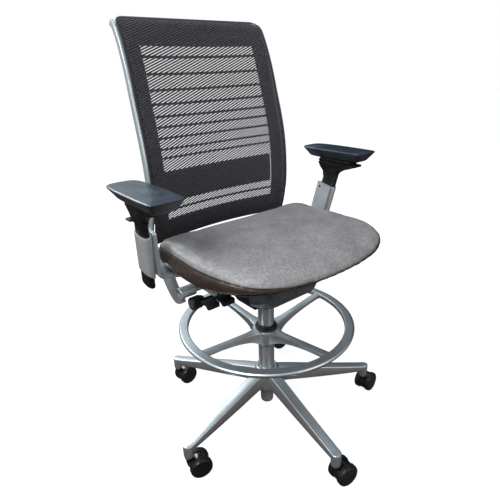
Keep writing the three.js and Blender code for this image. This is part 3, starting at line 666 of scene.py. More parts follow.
def front_cover():
    b = Build()
    stations = catmull([(-113.6, 56.5, 428, 20), (-108, 74, 412, 24), (-98, 79.6, 402, 26),
                        (-70, 79.8, 388, 26), (-31, 79.8, 376.2, 26)], 20)
    outer = [cover_section(y, half, low, 465.6, radius) for y, half, low, radius in stations]
    inner = [cover_section(max(y + 3, -110.6), half - 3, low + 3, 465.6, radius - 2)
             for y, half, low, radius in stations]
    inner = [[(x, min(y, -31), z) for x, y, z in ring] for ring in inner]
    count = len(outer[0])
    points = [p for ring in outer + inner for p in ring]
    faces = []
    shift = len(outer) * count
    rows = len(outer)
    for i in range(rows - 1):
        for j in range(count - 1):
            a, c = i * count + j, (i + 1) * count + j
            faces += [(a, a + 1, c + 1, c), (shift + c, shift + c + 1, shift + a + 1, shift + a)]
        for edge in (0, count - 1):
            a, c = i * count + edge, (i + 1) * count + edge
            faces.append((a, c, shift + c, shift + a))
    last = (rows - 1) * count
    for j in range(count - 1):
        faces.append((last + j, last + j + 1, shift + last + j + 1, shift + last + j))
    faces += [tuple(range(count)), tuple(range(shift, shift + count))[::-1],
              (0, count - 1, shift + count - 1, shift)]
    b.add(points, faces)
    b.matrix = moved(0, -112.4, 436) @ turned(90, "X") @ Matrix.Scale(
        1.7, 4, (0, 1, 0))
    b.lathe(filleted([(0, -1), (6.4, -1), (6.2, 1.6), (5.0, 2.4), (0, 2.5)], 0.7, 3), 40)
    b.piece("mechanism_cover_shell", ["cover"], "mechanism", ["mechanism_front_cover"], radians(40))


def dial():
    b = Build()
    b.matrix = cross_matrix(66, 390)
    rings = []
    for x, radius, flute in ((-182.8, 0.01, 0), (-182.8, 12.4, 0), (-182.7, 12.6, 0), (-183, 15.2, 0),
                             (-181.6, 16.3, 0), (-180, 16.5, 0.5), (-160, 16.5, 0.7), (-157.5, 15.6, 0.3),
                             (-150, 13, 0), (-149.2, 12.2, 0), (-149, 0.01, 0)):
        ring = []
        for j, angle in enumerate(turns(96)):
            reach = max(radius - (flute if j % 4 in (0, 1) else 0), 0.01)
            ring.append((reach * cos(angle), reach * sin(angle), x))
        rings.append(ring)
    b.loft(rings, caps=False)
    b.lathe([(0, -160), (4, -160), (4, -60.4), (0, -60.4)], 20)
    b.paint = 1
    b.lathe(filleted([(0, -183.2), (10.6, -183.2), (11.2, -182.4), (11.2, -181.6), (0, -181.6)], 0.4, 3), 48)
    b.piece("recline_dial_knob", ["black", "disc"], "dial", ["recline_dial"])


def pivot_shaft():
    b = Build()
    b.matrix = cross_matrix(*PIVOT)
    b.lathe(filleted([(0, -201), (5.6, -201), (6.2, -202.8), (8.4, -203), (9.2, -202), (9.2, 202), (8.4, 203),
                      (6.2, 202.8), (5.6, 201), (0, 201)], 0.4, 3), 48)
    b.paint = 1
    for end in (-1, 1):
        b.lathe([(0, end * 200.6), (5.4, end * 200.6), (5.4, end * 201.3), (0, end * 201.3)][::end], 32)
    b.piece("back_pivot_pin", ["polished", "disc"], "back", ["back_pivot_shaft"])


def paddle(name, node, body, outer, inner, front, back, z, rod_y):
    b = Build()
    outline = filleted([(front, z - 8.4), (front - 0.01, z + 2.4), (back, z + 2.6), (back + 0.01, z - 2.6),
                        (front + 13, z - 2.6), (front + 5.5, z - 10.4), (front, z - 8.6)], 1.8, 4)
    xs = [outer, outer + 0.8, outer + 2.4, inner - 2.4, inner - 0.8, inner]
    shrink = [1.6, 0.5, 0, 0, 0.5, 1.6]
    middle_y = sum(p[0] for p in outline) / len(outline)
    middle_z = sum(p[1] for p in outline) / len(outline)
    rings = []
    for x, inset in zip(xs, shrink):
        ring = []
        for y, height in outline:
            away = Vector((y - middle_y, height - middle_z))
            pulled = away * max(0.2, 1 - inset / max(away.length, 2))
            ring.append((x, middle_y + pulled.x, middle_z + pulled.y))
        rings.append(ring)
    b.loft(rings)
    b.matrix = cross_matrix(rod_y, z)
    b.lathe([(0, inner - 6), (4.6, inner - 6), (5, inner - 5.4), (5, -61), (4.6, -60.4), (0, -60.4)], 24)
    b.piece(name, ["black"], body, [node])


def mechanism():
    refined("mechanism_housing", "mechanism_housing_body", ["black"], "mechanism", 2.0)
    front_cover()
    dial()
    pivot_shaft()
    paddle("height_lever_paddle", "height_lever", "height_handle", -173, -141, 3, 38, 404, 28)
    paddle("depth_lever_paddle", "seat_depth_lever", "depth_handle", -168, -136, -52, -16, 436, -24)


# ------------------------------------------------------------------ seat
SEAT_OUTLINE = [
    (0, 129), (120, 129), (196, 129), (221, 126), (234, 112), (238, 80), (244, 0), (245, -70),
    (235, -135), (208, -189), (153, -224), (80, -241), (0, -246),
]
SEAT_MIDDLE = -60
SEAM_INSET = 4.0
SEAM_HEIGHT = 547
# The rest of the seat's measures are metres in the row frame.
WELT_RADIUS = 0.0015
STITCH_RADIUS = 0.00042
VOXEL, PRESSURE, MOST_SWELL, CLOTH_FRAMES = 0.0042, 3.0, 0.0035, 20
HELD_BELOW, BAND_BELOW, SEAT_UNDERSIDE = 0.505, 0.515, 0.4935
SEAM_DEPTH, PUCKER = 0.0016, 0.0004


def spline_span(p0, p1, p2, p3, samples):
    """Points from p1 towards p2 on a centripetal spline, without p2 itself."""
    t = [0.0]
    for a, b in ((p0, p1), (p1, p2), (p2, p3)):
        t.append(t[-1] + sqrt(max(np.linalg.norm(b - a), 1e-6)))

    def between(u, i, j, first, second):
        return (t[j] - u) / (t[j] - t[i]) * first + (u - t[i]) / (t[j] - t[i]) * second

    out = []
    for step in range(samples):
        u = t[1] + (t[2] - t[1]) * step / samples
        a1, a2, a3 = between(u, 0, 1, p0, p1), between(u, 1, 2, p1, p2), between(u, 2, 3, p2, p3)
        b1, b2 = between(u, 0, 2, a1, a2), between(u, 1, 3, a2, a3)
        out.append(between(u, 1, 2, b1, b2))
    return out


def distances(points):
    """How far along a polyline each of its points lies."""
    return np.concatenate([[0], np.cumsum(np.linalg.norm(np.diff(points, axis=0), axis=1))])


def closed_outline(half, count):
    """A smooth closed outline, evenly spaced, from its right half."""
    whole = half + [(-x, y) for x, y in half[-2:0:-1]]
    points = [np.array(p, float) for p in whole]
    n = len(points)
    dense = []
    for i in range(n):
        dense += spline_span(points[i - 1], points[i], points[(i + 1) % n], points[(i + 2) % n], 24)
    dense = np.array(dense + [dense[0]])
    along = distances(dense)
    wanted = np.linspace(0, along[-1], count, endpoint=False)
    return [(float(np.interp(w, along, dense[:, 0])), float(np.interp(w, along, dense[:, 1])))
            for w in wanted]


def waterfall(y):
    return 0.0011 * max(0, -110 - y) ** 2


def upsweep(y):
    rise = 0.00055 * max(0, 20 - y) ** 2
    return rise if rise < 20 else 28 - 8 * exp((20 - rise) / 8)


def seat_point(outline_point, height, inset, drop, rise):
    x = outline_point[0] * (1 - inset / 240)
    y = SEAT_MIDDLE + (outline_point[1] - SEAT_MIDDLE) * (1 - inset / 186)
    return (x, y, height - drop * waterfall(y) + rise * upsweep(y))


SEAT_LEVELS = [
    (494.2, 185, 0, 1), (494.2, 150, 0, 1), (494.2, 100, 0, 1), (494.2, 46, 0, 1), (494.6, 28, 0.1, 1),
    (497, 14, 0.2, 0.95), (503.5, 7, 0.28, 0.8), (511, 3.8, 0.35, 0.58), (520, 2.0, 0.48, 0.35),
    (529, 1.6, 0.62, 0.15), (538, 2.0, 0.85, 0.05), (545.5, 4.2, 1, 0), (550.5, 8, 1, 0),
    (554.5, 14.5, 1, 0), (557, 24, 1, 0), (559.3, 50, 1, 0), (560.6, 92, 1, 0), (561.2, 150, 1, 0),
    (561.4, 185, 1, 0),
]


def seat_shell():
    outline = closed_outline(SEAT_OUTLINE, 150)
    rings = []
    for level in catmull(SEAT_LEVELS, 54):
        rings.append([seat_point(p, level[0], min(level[1], 185), level[2], level[3]) for p in outline])
    b = Build()
    b.loft(rings)
    return raw_mesh("seat_cover", [place(*p) for p in b.points], b.faces)


def puffed(mesh, voxel, pressure, cap, pinned):
    """The mesh remeshed and inflated as cloth; no point moves further than cap, and pinned ones stay."""
    obj = bpy.data.objects.new("cloth_work", mesh)
    bpy.context.scene.collection.objects.link(obj)
    bpy.context.view_layer.objects.active = obj
    remesh = obj.modifiers.new("remesh", "REMESH")
    remesh.mode = "VOXEL"
    remesh.voxel_size = voxel
    bpy.ops.object.modifier_apply(modifier="remesh")
    start = np.array([v.co for v in obj.data.vertices])
    held = obj.vertex_groups.new(name="held")
    held.add([i for i, co in enumerate(start) if pinned(co)], 1.0, "ADD")
    cloth = obj.modifiers.new("cloth", "CLOTH")
    cloth.settings.quality = 4
    cloth.settings.use_pressure = True
    cloth.settings.uniform_pressure_force = pressure
    cloth.settings.effector_weights.gravity = 0
    cloth.settings.tension_stiffness = 25
    cloth.settings.bending_stiffness = 2
    cloth.settings.vertex_group_mass = "held"
    cloth.point_cache.frame_start = 1
    cloth.point_cache.frame_end = CLOTH_FRAMES
    for number in range(1, CLOTH_FRAMES + 1):
        bpy.context.scene.frame_set(number)
    moved = obj.evaluated_get(bpy.context.evaluated_depsgraph_get())
    end = np.array([v.co for v in moved.data.vertices])
    obj.modifiers.remove(cloth)
    step = end - start
    length = np.maximum(np.linalg.norm(step, axis=1), 1e-9)
    start = start + step * (np.minimum(length, cap) / length)[:, None]
    obj.data.vertices.foreach_set("co", start.ravel())
    bpy.context.scene.frame_set(1)
    result = obj.data.copy()
    bpy.data.objects.remove(obj)
    return result


def relaxed(mesh, rounds):
    with edited(mesh) as work:
        for _ in range(rounds):
            bmesh.ops.smooth_vert(work, verts=work.verts, factor=0.5,
                                  use_axis_x=True, use_axis_y=True, use_axis_z=True)


def seam_line(count):
    outline = closed_outline(SEAT_OUTLINE, count)
    return [Vector(place(*seat_point(p, SEAM_HEIGHT, SEAM_INSET, 1, 0))) for p in outline]


def seated_on(tree, point, centre, lift):
    """The point moved onto the surface along the line from the seat's middle, then out by lift."""
    outward = Vector((point.x - centre.x, point.y - centre.y, 0)).normalized()
    outward = (outward + Vector((0, 0, 0.55))).normalized()
    hit, normal, _, _ = tree.ray_cast(point + outward * 0.04, -outward, 0.08)
    if hit is None:
        hit, normal, _, _ = tree.find_nearest(point)
    return hit + normal * lift, normal


def seat():
    mesh = puffed(seat_shell(), VOXEL, PRESSURE, MOST_SWELL, lambda co: co[2] < DATUM + HELD_BELOW)
    relaxed(mesh, 5)
    centre = place(0, SEAT_MIDDLE, SEAM_HEIGHT)
    work = bmesh.new()
    work.from_mesh(mesh)
    plain = BVHTree.FromBMesh(work)
    line = [seated_on(plain, point, centre, 0)[0] for point in seam_line(500)]
    line = smoothed_loop(line, 6)
    bmesh.ops.subdivide_edges(work, edges=work.edges, cuts=1, use_grid_fill=True, smooth=0.6)
    work.normal_update()
    tree = KDTree(len(line))
    for i, point in enumerate(line):
        tree.insert(point, i)
    tree.balance()
    for vert in work.verts:
        _, index, gap = tree.find(vert.co)
        if gap < 0.03:
            depth = SEAM_DEPTH * exp(-(gap / 0.0042) ** 2)
            pucker = PUCKER * sin(index * 0.72) * exp(-(gap / 0.012) ** 2)
            vert.co -= vert.normal * (depth - pucker)
        if vert.normal.z > 0.5:
            vert.co.z += noise.noise(vert.co * 14) * 0.0012
        vert.co.z = max(vert.co.z, DATUM + SEAT_UNDERSIDE)
    for face in work.faces:
        middle = face.calc_center_median()
        _, index, _ = tree.find(middle)
        inward = Vector((centre.x - middle.x, centre.y - middle.y, 0)).normalized() * 0.5
        inward = inward + Vector((0, 0, 0.87))
        above = (middle - line[index]).dot(inward) > 0
        face.material_index = 0 if above and middle.z > DATUM + BAND_BELOW else 1
    work.to_mesh(mesh)
    work.free()
    cover = finish_piece("seat_cover", mesh, ["leather_top", "leather_band"], "seat", ["seat_cushion"], 0)
    surface = BVHTree.FromObject(cover, bpy.context.evaluated_depsgraph_get())
    welt(surface, line)
    stitches(surface, centre)


def welt(surface, line):
    """The piping cord that lies in the seam."""
    path = []
    for point in line:
        hit, normal, _, _ = surface.find_nearest(point)
        path.append(hit + normal * 0.0009)
    path = smoothed_loop(path, 4)
    b = Build()
    count = len(path)
    rings = []
    for i in range(count):
        tangent = (path[(i + 1) % count] - path[i - 1]).normalized()
        up = Vector((0, 0, 1))
        side = tangent.cross(up).normalized()
        lift = side.cross(tangent)
        rings.append([path[i] + side * WELT_RADIUS * cos(angle) + lift * WELT_RADIUS * sin(angle)
                      for angle in turns(8)])
    b.loft(rings + [rings[0]], caps=False)
    mesh = raw_mesh("seat_welt", b.points, b.faces)
    with edited(mesh) as work:
        bmesh.ops.remove_doubles(work, verts=work.verts, dist=1e-6)
        bmesh.ops.recalc_face_normals(work, faces=work.faces)
    finish_piece("seat_welt", mesh, ["welt"], "seat", (), 0)


def stitches(surface, centre):
    """A row of stitches on the top panel, a few millimetres above the piping."""
    outline = closed_outline(SEAT_OUTLINE, 1600)
    top = [Vector(place(*seat_point(p, 552, 10.5, 1, 0))) for p in outline]
    b = Build()
    span = 4
    for start in range(0, len(top) - span, span + 1):
        ends = [seated_on(surface, top[start + k], centre, 0.00012)[0] for k in (0, span)]
        along = ends[1] - ends[0]
        if along.length > 0.012:
            continue
        direction = along.normalized()
        side = direction.cross(Vector((0, 0, 1))).normalized()
        up = side.cross(direction)
        rings = []
        for t, size in ((0.04, 0.35), (0.2, 0.9), (0.5, 1.0), (0.8, 0.9), (0.96, 0.35)):
            middle = ends[0] + along * t
            rings.append([middle + side * STITCH_RADIUS * size * cos(angle)
                          + up * STITCH_RADIUS * size * sin(angle) for angle in turns(6)])
        b.loft(rings)
    mesh = raw_mesh("seat_stitches", b.points, b.faces)
    finish_piece("seat_stitches", mesh, ["stitch"], "seat", (), 0)


def seat_parts():
    refined("seat_pan", "seat_pan_board", ["black"], "seat_carrier", 1.2)
    for side, name in ((1, "left"), (-1, "right")):
        b = Build()
        rings = []
        for x in (203.2, 204, 211, 211.8):
            inset = 0.8 if x in (203.2, 211.8) else 0
            outline = filleted([(-82 + inset, 491.4 - inset), (-82 + inset, 483 + inset),
                                (-76, 481.8 + inset), (26, 481.8 + inset),
                                (29 - inset, 485), (29 - inset, 491.4 - inset),
                                (-82 + inset, 491.4 - inset)], 1.4, 3)[:-1]
            rings.append([(side * x, y, z) for y, z in outline])
        b.loft(rings)
        b.piece(f"seat_rail_strip_{name}", ["pale_silver"], "seat", [f"seat_rail_{name}"])


# ------------------------------------------------------------------ back
BACK_SIDE = [
    (168, 522), (157, 556), (148, 612), (149, 691), (156, 748), (168, 802),
    (184, 860), (197, 909), (211, 951), (226, 987), (242, 1015), (263, 1031),
]
BACK_HALF, BACK_NARROWING, BACK_CORNER, BACK_BOW = 212, 7, 28, 19
RIB_SLANT, RIB_PITCH, YARN_LEAN, YARN_PITCH, YARN_STEP = 22, 5.8, -0.18, 3.8, 9
RAIL_DEPTH, FLEXOR_DEPTH = (3.5, 11.8), (18.1, 22.9)
FLEXORS = [559, 594, 729, 750, 776, 801, 825, 852, 882, 918, 956]


def side_table():
    """The back's side curve as rows of distance, y and z: the same curve as the CAD's."""
    points = [np.array(p, float) for p in BACK_SIDE]
    points = [2 * points[0] - points[1], *points, 2 * points[-1] - points[-2]]
    dense = []
    for i in range(len(points) - 3):
        dense += spline_span(*points[i:i + 4], 40)
    dense = np.array(dense + [points[-2]])
    along = distances(dense)
    return np.column_stack([along, dense])


SIDE = side_table()
BACK_LENGTH = float(SIDE[-1, 0])


def smoothstep(x, low, high):
    t = min(1, max(0, (x - low) / (high - low)))
    return t * t * (3 - 2 * t)


def side_at(station):
    d = station * BACK_LENGTH
    y, z = np.interp(d, SIDE[:, 0], SIDE[:, 1]), np.interp(d, SIDE[:, 0], SIDE[:, 2])
    near = [min(BACK_LENGTH, max(0, d + shift)) for shift in (-3, 3)]
    dy = np.interp(near[1], SIDE[:, 0], SIDE[:, 1]) - np.interp(near[0], SIDE[:, 0], SIDE[:, 1])
    dz = np.interp(near[1], SIDE[:, 0], SIDE[:, 2]) - np.interp(near[0], SIDE[:, 0], SIDE[:, 2])
    size = hypot(dy, dz)
    return float(y), float(z), dy / size, dz / size


def station_at(height):
    return float(np.interp(height, SIDE[:, 2], SIDE[:, 0])) / BACK_LENGTH


def narrowing(station):
    return BACK_NARROWING * smoothstep(station, 0.4, 1)


def back_point(x, station, behind):
    y, z, ty, tz = side_at(station)
    straight = 1 - smoothstep(station, 0.8, 0.97)
    bow = BACK_BOW * (1 - 0.6 * station) * straight * (1 - (x / (BACK_HALF - narrowing(station))) ** 2)
    return (x, y + tz * (behind + bow), z - ty * (behind + bow))


def half_at(station, full=BACK_HALF):
    into = max(0, BACK_CORNER - (1 - station) * BACK_LENGTH)
    return full - narrowing(station) - BACK_CORNER + sqrt(max(0, BACK_CORNER ** 2 - into ** 2))


def back_slab(b, stations, across, front, rear, edge=0.8):
    """A curved slab with rounded long edges, following the back."""
    rings = []
    for n, station in enumerate(stations):
        ends = edge if n in (0, len(stations) - 1) else 0
        xs = across(station)
        ring = [back_point(x, station, front + (edge if i in (0, len(xs) - 1) else 0) + ends)
                for i, x in enumerate(xs)]
        ring += [back_point(x, station, rear - (edge if i in (0, len(xs) - 1) else 0) - ends)
                 for i, x in reversed(list(enumerate(xs)))]
        rings.append(ring)
    b.loft(rings, "strip")


def padded_span(low, high, count, edge=0.8):
    inner = [low + edge + (high - low - 2 * edge) * i / count for i in range(count + 1)]
    return [low, *inner, high]


def rib_strip(b, path, half_width, front, rear):
    """A flat strip along (x, distance) points of the back."""
    rings = []
    for i, (x, d) in enumerate(path):
        before, after = neighbours(path, i)
        direction = Vector((after[0] - before[0], after[1] - before[1])).normalized()
        normal = Vector((-direction.y, direction.x)) * half_width
        ring = []
        for share, behind in ((-1, (front + rear) / 2), (0, front), (1, (front + rear) / 2), (0, rear)):
            ring.append(back_point(x + normal.x * share, (d + normal.y * share) / BACK_LENGTH, behind))
        rings.append(ring)
    b.loft(rings)


def clipped_line(slope, offset, steep, step):
    """Points (x, distance) of one straight yarn where it lies inside the back's outline."""
    inside = []
    low, high = (1.5, BACK_LENGTH - 1.5)
    if steep:
        for n in range(int((high - low) / step) + 1):
            d = low + n * step
            inside.append((offset + slope * d, d))
    else:
        for n in range(int(2 * BACK_HALF / step) + 1):
            x = -BACK_HALF + n * step
            inside.append((x, offset + slope * x))
    return [(x, d) for x, d in inside if low <= d <= high and abs(x) <= half_at(d / BACK_LENGTH) - 1.2]


def knit(border):
    b = Build()
    tilt = tan(radians(RIB_SLANT))
    reach = BACK_LENGTH + BACK_HALF * tilt
    offset = -BACK_HALF * tilt
    while offset < reach:
        path = clipped_line(tilt, offset, False, YARN_STEP)
        if len(path) > 2:
            rib_strip(b, path, 1.75, -0.5, 0.9)
        offset += RIB_PITCH
    b.paint = 1
    offset = -BACK_HALF
    while offset < BACK_HALF - YARN_LEAN * BACK_LENGTH:
        path = clipped_line(YARN_LEAN, offset, True, YARN_STEP)
        if len(path) > 2:
            rib_strip(b, path, 0.5, -0.1, 0.8)
        offset += YARN_PITCH
    sheet = b.piece("back_knit", ["rib", "net"], "back", ["back_mesh"], 0, merge=0)


def hem():
    """The folded border that holds the knit along its sides, foot and top."""
    b = Build()
    for side in (1, -1):
        def across(station, side=side):
            outer = half_at(min(station, 0.9995)) - 0.2
            edge = sorted((side * outer, side * (outer - 6.5)))
            return padded_span(edge[0], edge[1], 2, 0.6)
        back_slab(b, [0.002 + 0.9965 * s for s in spaced(0, 1, 60)], across, -0.7, 1.7, 0.6)
    for low, high in ((0.001, 0.012), (0.984, 0.9985)):
        def across(station):
            outer = half_at(station) - 0.3
            return padded_span(-outer, outer, 28, 0.6)
        back_slab(b, [low, low + 0.002, high - 0.002, high], across, -0.6, 1.7, 0.4)
    return b.piece("back_hem", ["hem"], "back", (), 0)


def back_frame():
    top = Build()
    low = station_at(975)
    back_slab(top, spaced(low, 0.995, 18), lambda s: padded_span(-half_at(s, 209), half_at(s, 209), 30),
              *RAIL_DEPTH, 1.0)
    top.piece("back_top_frame", ["black"], "back", ["back_top_rail"])
    foot = Build()
    back_slab(foot, spaced(0, station_at(576), 8), lambda s: padded_span(-206.4, 206.4, 30), *RAIL_DEPTH, 1.0)
    foot.piece("back_foot_frame", ["black"], "back", ["back_bottom_rail"])
    for side, name in ((1, "left"), (-1, "right")):
        b = Build()
        low, high = station_at(576.6), station_at(973.8)

        def across(station, side=side):
            edges = sorted((side * (169 - narrowing(station)), side * (209 - narrowing(station))))
            return padded_span(edges[0], edges[1], 3)
        back_slab(b, spaced(low, high, 44), across, *RAIL_DEPTH, 1.0)
        b.piece(f"back_carrier_strip_{name}", ["black"], "back", [f"back_carrier_{name}"])
    lumbar = Build()
    low, high = station_at(620.2), station_at(697.8)
    back_slab(lumbar, spaced(low, high, 10), lambda s: padded_span(-165.8, 165.8, 26),
              10.4, 13.8, 0.9)
    for x in spaced(-161, 161, 73):
        back_slab(lumbar, [low + (high - low) * t for t in (0.03, 0.1, 0.5, 0.9, 0.97)],
                  lambda s, x=x: [x - 1.1, x, x + 1.1], 9.2, 11, 0.7)
    lumbar.piece("lumbar_pad_ribbed", ["lumbar"], "lumbar", ["lumbar_pad"])
    for n, height in enumerate(FLEXORS):
        b = Build()
        low, high = station_at(height - 2.5), station_at(height + 2.5)
        back_slab(b, [low, low + (high - low) * 0.25, low + (high - low) * 0.75, high],
                  lambda s: padded_span(-185.8, 185.8, 30), *FLEXOR_DEPTH, 0.9)
        b.piece(f"flexor_bar_{n + 1:02d}", ["black"], "back", [f"flexor_{n + 1:02d}"])


def upright(side, name):
    middle, half = 213.65, 3.75
    b = Build()
    rings = []

    def section(half_width, front, rear, x, y, z, ty, tz):
        ring = []
        for across, behind in rounded(half_width, front, rear, min(1.8, half_width * 0.45), 3):
            ring.append((side * (x + across), y + tz * behind, z - ty * behind))
        return ring

    top, low = 0.985, station_at(600)
    for station in spaced(top, low, 45):
        y, z, ty, tz = side_at(station)
        rings.append(section(half, 3.1, 20.4 - 3 * station, middle - narrowing(station), y, z, ty, tz))
    sweep = catmull([(213.65, 173, 566, 20, 7.5), (213.65, 178, 545, 21, 7.5), (213.15, 184.5, 525, 22, 8.5),
                     (208, 175, 506, 32, 12), (200, 163, 482, 40, 15), (196, 149, 450, 40, 17),
                     (195, 129, 418, 33, 18), (195, 106, 400, 30, 18), (195, 88, 403, 27, 18)], 40)
    for i, (x, y, z, depth, thick) in enumerate(sweep):
        before, after = neighbours(sweep, i)
        along = Vector((before[1] - after[1], before[2] - after[2])).normalized()
        rings.append(section(thick / 2, -depth / 2, depth / 2, x, y, z, along.x, along.y))
    b.loft(rings)
    b.matrix = cross_matrix(*PIVOT)
    low_x, high_x = sorted((side * 162, side * 206))
    b.lathe(filleted([(9.6, low_x), (13.4, low_x), (14.5, low_x + 1.6), (14.5, high_x - 1.6), (13.4, high_x),
                      (9.6, high_x)], 0.6, 3), 56)
    b.piece(f"back_upright_bar_{name}", ["pale_silver"], "back", [f"back_upright_{name}"], radians(38))


# ------------------------------------------------------------------ arms
ARM_X, ARM_Y, SLEEVE_TOP = 290, 55, 606
LEAN = (moved(ARM_X, ARM_Y, SLEEVE_TOP) @ turned(5.5, "Y")
        @ turned(12, "X") @ moved(-ARM_X, -ARM_Y, -SLEEVE_TOP))


def mirror(side):
    return Matrix.Scale(-1, 4, (1, 0, 0)) if side < 0 else Matrix.Identity(4)


def oval(half_x, half_y, z, count=44, slant=0.0):
    ring = []
    for angle in turns(count):
        x = half_x * copysign(abs(cos(angle)) ** 0.85, cos(angle))
        y = half_y * copysign(abs(sin(angle)) ** 0.85, sin(angle))
        ring.append((ARM_X + x, ARM_Y + y, z + slant * (x + half_x)))
    return ring


def bracket(side, name):
    b = Build()
    b.matrix = mirror(side) @ LEAN
    heights = [(12.4, 26.9, 492, 0.75), (12.5, 27, 494, 0.72), (12.5, 27, 530, 0.3), (12.5, 27, 598, 0),
               (12.5, 27, 604.6, 0), (12.0, 26.5, 606, 0), (10.4, 24.9, 606, 0), (9.9, 24.4, 605, 0),
               (9.9, 24.4, 520, 0.2), (9.9, 24.4, 494, 0.7)]
    rings = [oval(hx, hy, z, 44, slant) for hx, hy, z, slant in heights]
    b.loft(rings + [rings[0]], caps=False)
    face, thick = ARM_X - 20.5, 9
    path = catmull([(face + 3.6, 607.5), (face + 3.6, 570), (face + 3.6, 525), (face + 2.6, 504),
                    (face - 1, 494), (face - 10, 486.5), (face - 28, 481), (215, 471), (180, 457), (140, 441),
                    (100, 425), (66, 411)], 60)
    rings = []
    for i, (x, z) in enumerate(path):
        before, after = neighbours(path, i)
        along = Vector((after[0] - before[0], after[1] - before[1])).normalized()
        normal = Vector((-along.y, along.x))
        section = rounded(23.9, -thick / 2 + 0.4, thick / 2, 1.9, 3)
        rings.append([(x + normal.x * up, ARM_Y + across, z + normal.y * up) for across, up in section])
    b.loft(rings)
    for y in (-15.5, 15.5):
        groove = []
        for z in (500, 520, 560, 600, 604):
            groove.append([(face + 8.1 + dx, ARM_Y + y + dy, z)
                           for dx, dy in ((0, -1.6), (1.4, -1.0), (1.4, 1.0), (0, 1.6))])
        b.loft(groove)
    b.paint = 1
    b.matrix = mirror(side) @ LEAN @ moved(face - 1.2, ARM_Y + 12, SLEEVE_TOP - 9) @ turned(90, "Y")
    b.lathe(filleted([(0, -0.2), (2.6, -0.2), (3.2, 0.4), (3.2, 2), (0, 2)], 0.3, 3), 24)
    b.piece(f"arm_sleeve_{name}", ["silver", "black"], "mechanism", [f"arm_bracket_{name}"], radians(35))


def post(side, name):
    b = Build()
    b.matrix = mirror(side) @ LEAN
    b.loft([oval(8.2, 22.6, 469.2), oval(9.2, 23.7, 470.2), oval(9.6, 24.1, 473), oval(9.6, 24.1, 608),
            oval(9.6, 24.1, 640)])
    b.matrix = mirror(side)
    levels = catmull([(630, 9.4, 75, 28), (636, 10.2, 75.5, 26), (643, 12, 76, 21), (650, 14.8, 77, 10),
                      (656, 18, 78, -6), (661, 20, 79, -22), (665.5, 21, 80, -35), (667, 21.6, 80.6, -40)], 30)
    levels += [(667.6, 22, 81, -41.6), (671.2, 22, 81, -41.8), (671.9, 21.2, 80.2, -41)]
    rings = []
    for z, half, rear, front in levels:
        centre, reach = (rear + front) / 2, (rear - front) / 2
        section = rounded(half, -reach, reach, min(9, half * 0.75), 5)
        shift = (z - SLEEVE_TOP) * 0.096 * (1 - smoothstep(z, 640, 660))
        rings.append([(ARM_X + shift + x, centre + y, z) for x, y in section])
    b.loft(rings)
    b.piece(f"arm_post_stem_{name}", ["black"], f"arm_{name}", [f"arm_post_{name}"], radians(35))


def trigger(side, name):
    b = Build()
    b.matrix = mirror(side)
    rings = []
    for x, grow in ((306.8, -0.8), (307.6, 0), (316, 0), (318.5, -0.3), (319.8, -1.2)):
        section = rounded(10.9 + grow, 640.1 - grow * 0.5, 644.9 + grow * 0.5, 1.6, 3)
        rings.append([(x, 51 + y, z) for y, z in section])
    b.loft(rings)
    b.piece(f"arm_trigger_tab_{name}", ["black"], f"arm_button_{name}", [f"arm_trigger_{name}"])


PAD_OUTLINE = [
    (0, 104), (16, 103), (29, 98), (36, 84), (40, 50), (41, 0), (41, -40), (39.5, -77), (38, -97), (34, -101),
    (0, -103),
]
PAD_MIDDLES = {"right": (-301, 8), "left": (301, 40)}


def pad(name):
    """An arm pad: a soft skin over a core, crowned on top, with a crisp rim and sides that slope in."""
    middle = PAD_MIDDLES[name]
    outline = closed_outline(PAD_OUTLINE, 96)
    levels = catmull([(681.2, 30), (681.2, 22), (684, 16), (690, 11.5), (697, 6.2), (703, 1.6), (705.2, 0.3),
                      (706.8, 0.5), (707.8, 2.2), (708.1, 5), (708.3, 12), (708.8, 22), (708.95, 34)], 44)
    b = Build()
    rings = []
    for z, inset in levels:
        ring = []
        for x, y in outline:
            px, py = x * (1 - inset / 41), y * (1 - inset / 103)
            dish = 0.9 * cos(min(1, abs(py) / 103) * pi / 2) if z > 707.9 else 0
            ring.append((middle[0] + px, middle[1] + py, z - 0.6 + dish * 0.6))
        rings.append(ring)
    b.loft(rings)
    piece = b.piece(f"arm_pad_skin_{name}", ["pad"], f"pad_{name}", [f"arm_pad_{name}"], radians(48))


def slide(side, name):
    b = Build()
    b.matrix = mirror(side)
    y = PAD_MIDDLES[name][1]
    rings = []
    for z, inset in ((672.4, 1.0), (673.2, 0.2), (676.4, 0), (677.2, 1.6), (679.4, 1.8), (680.2, 2.4)):
        section = rounded(19 - inset, -55 + inset, 55 - inset, 6, 4)
        rings.append([(ARM_X + 5 + across, y - 9 + along, z) for across, along in section])
    b.loft(rings)
    b.piece(f"arm_slide_plate_{name}", ["black"], f"pad_plate_{name}", [f"arm_slide_{name}"])


def arms():
    for side, name in ((1, "left"), (-1, "right")):
        bracket(side, name)
        post(side, name)
        trigger(side, name)
        slide(side, name)
        pad(name)


# ------------------------------------------------------------------ stage
def floor():
    """A pale floor that the lights shade softly and the chair doesn't mirror."""
    size = 14
    corners = [(-size, -size, 0), (size, -size, 0), (size, size, 0), (-size, size, 0)]
    mesh = raw_mesh("floor", corners, [(0, 1, 2, 3)])
    s = Shader("floor_pale", (0.34, 0.34, 0.34), 0.9, 0.0, Specular_IOR_Level=0.0, Emission_Strength=0.86)
    s.set("Emission Color", (1, 1, 1, 1))
    s.colour(s.ramp(s.noise(3, 2), [(0.3, (0.33, 0.33, 0.33)), (0.7, (0.35, 0.35, 0.35))]))
    mesh.materials.append(s.material)
    obj = bpy.data.objects.new("floor", mesh)
    bpy.context.scene.collection.objects.link(obj)
    obj.visible_glossy = False
    obj.visible_diffuse = False


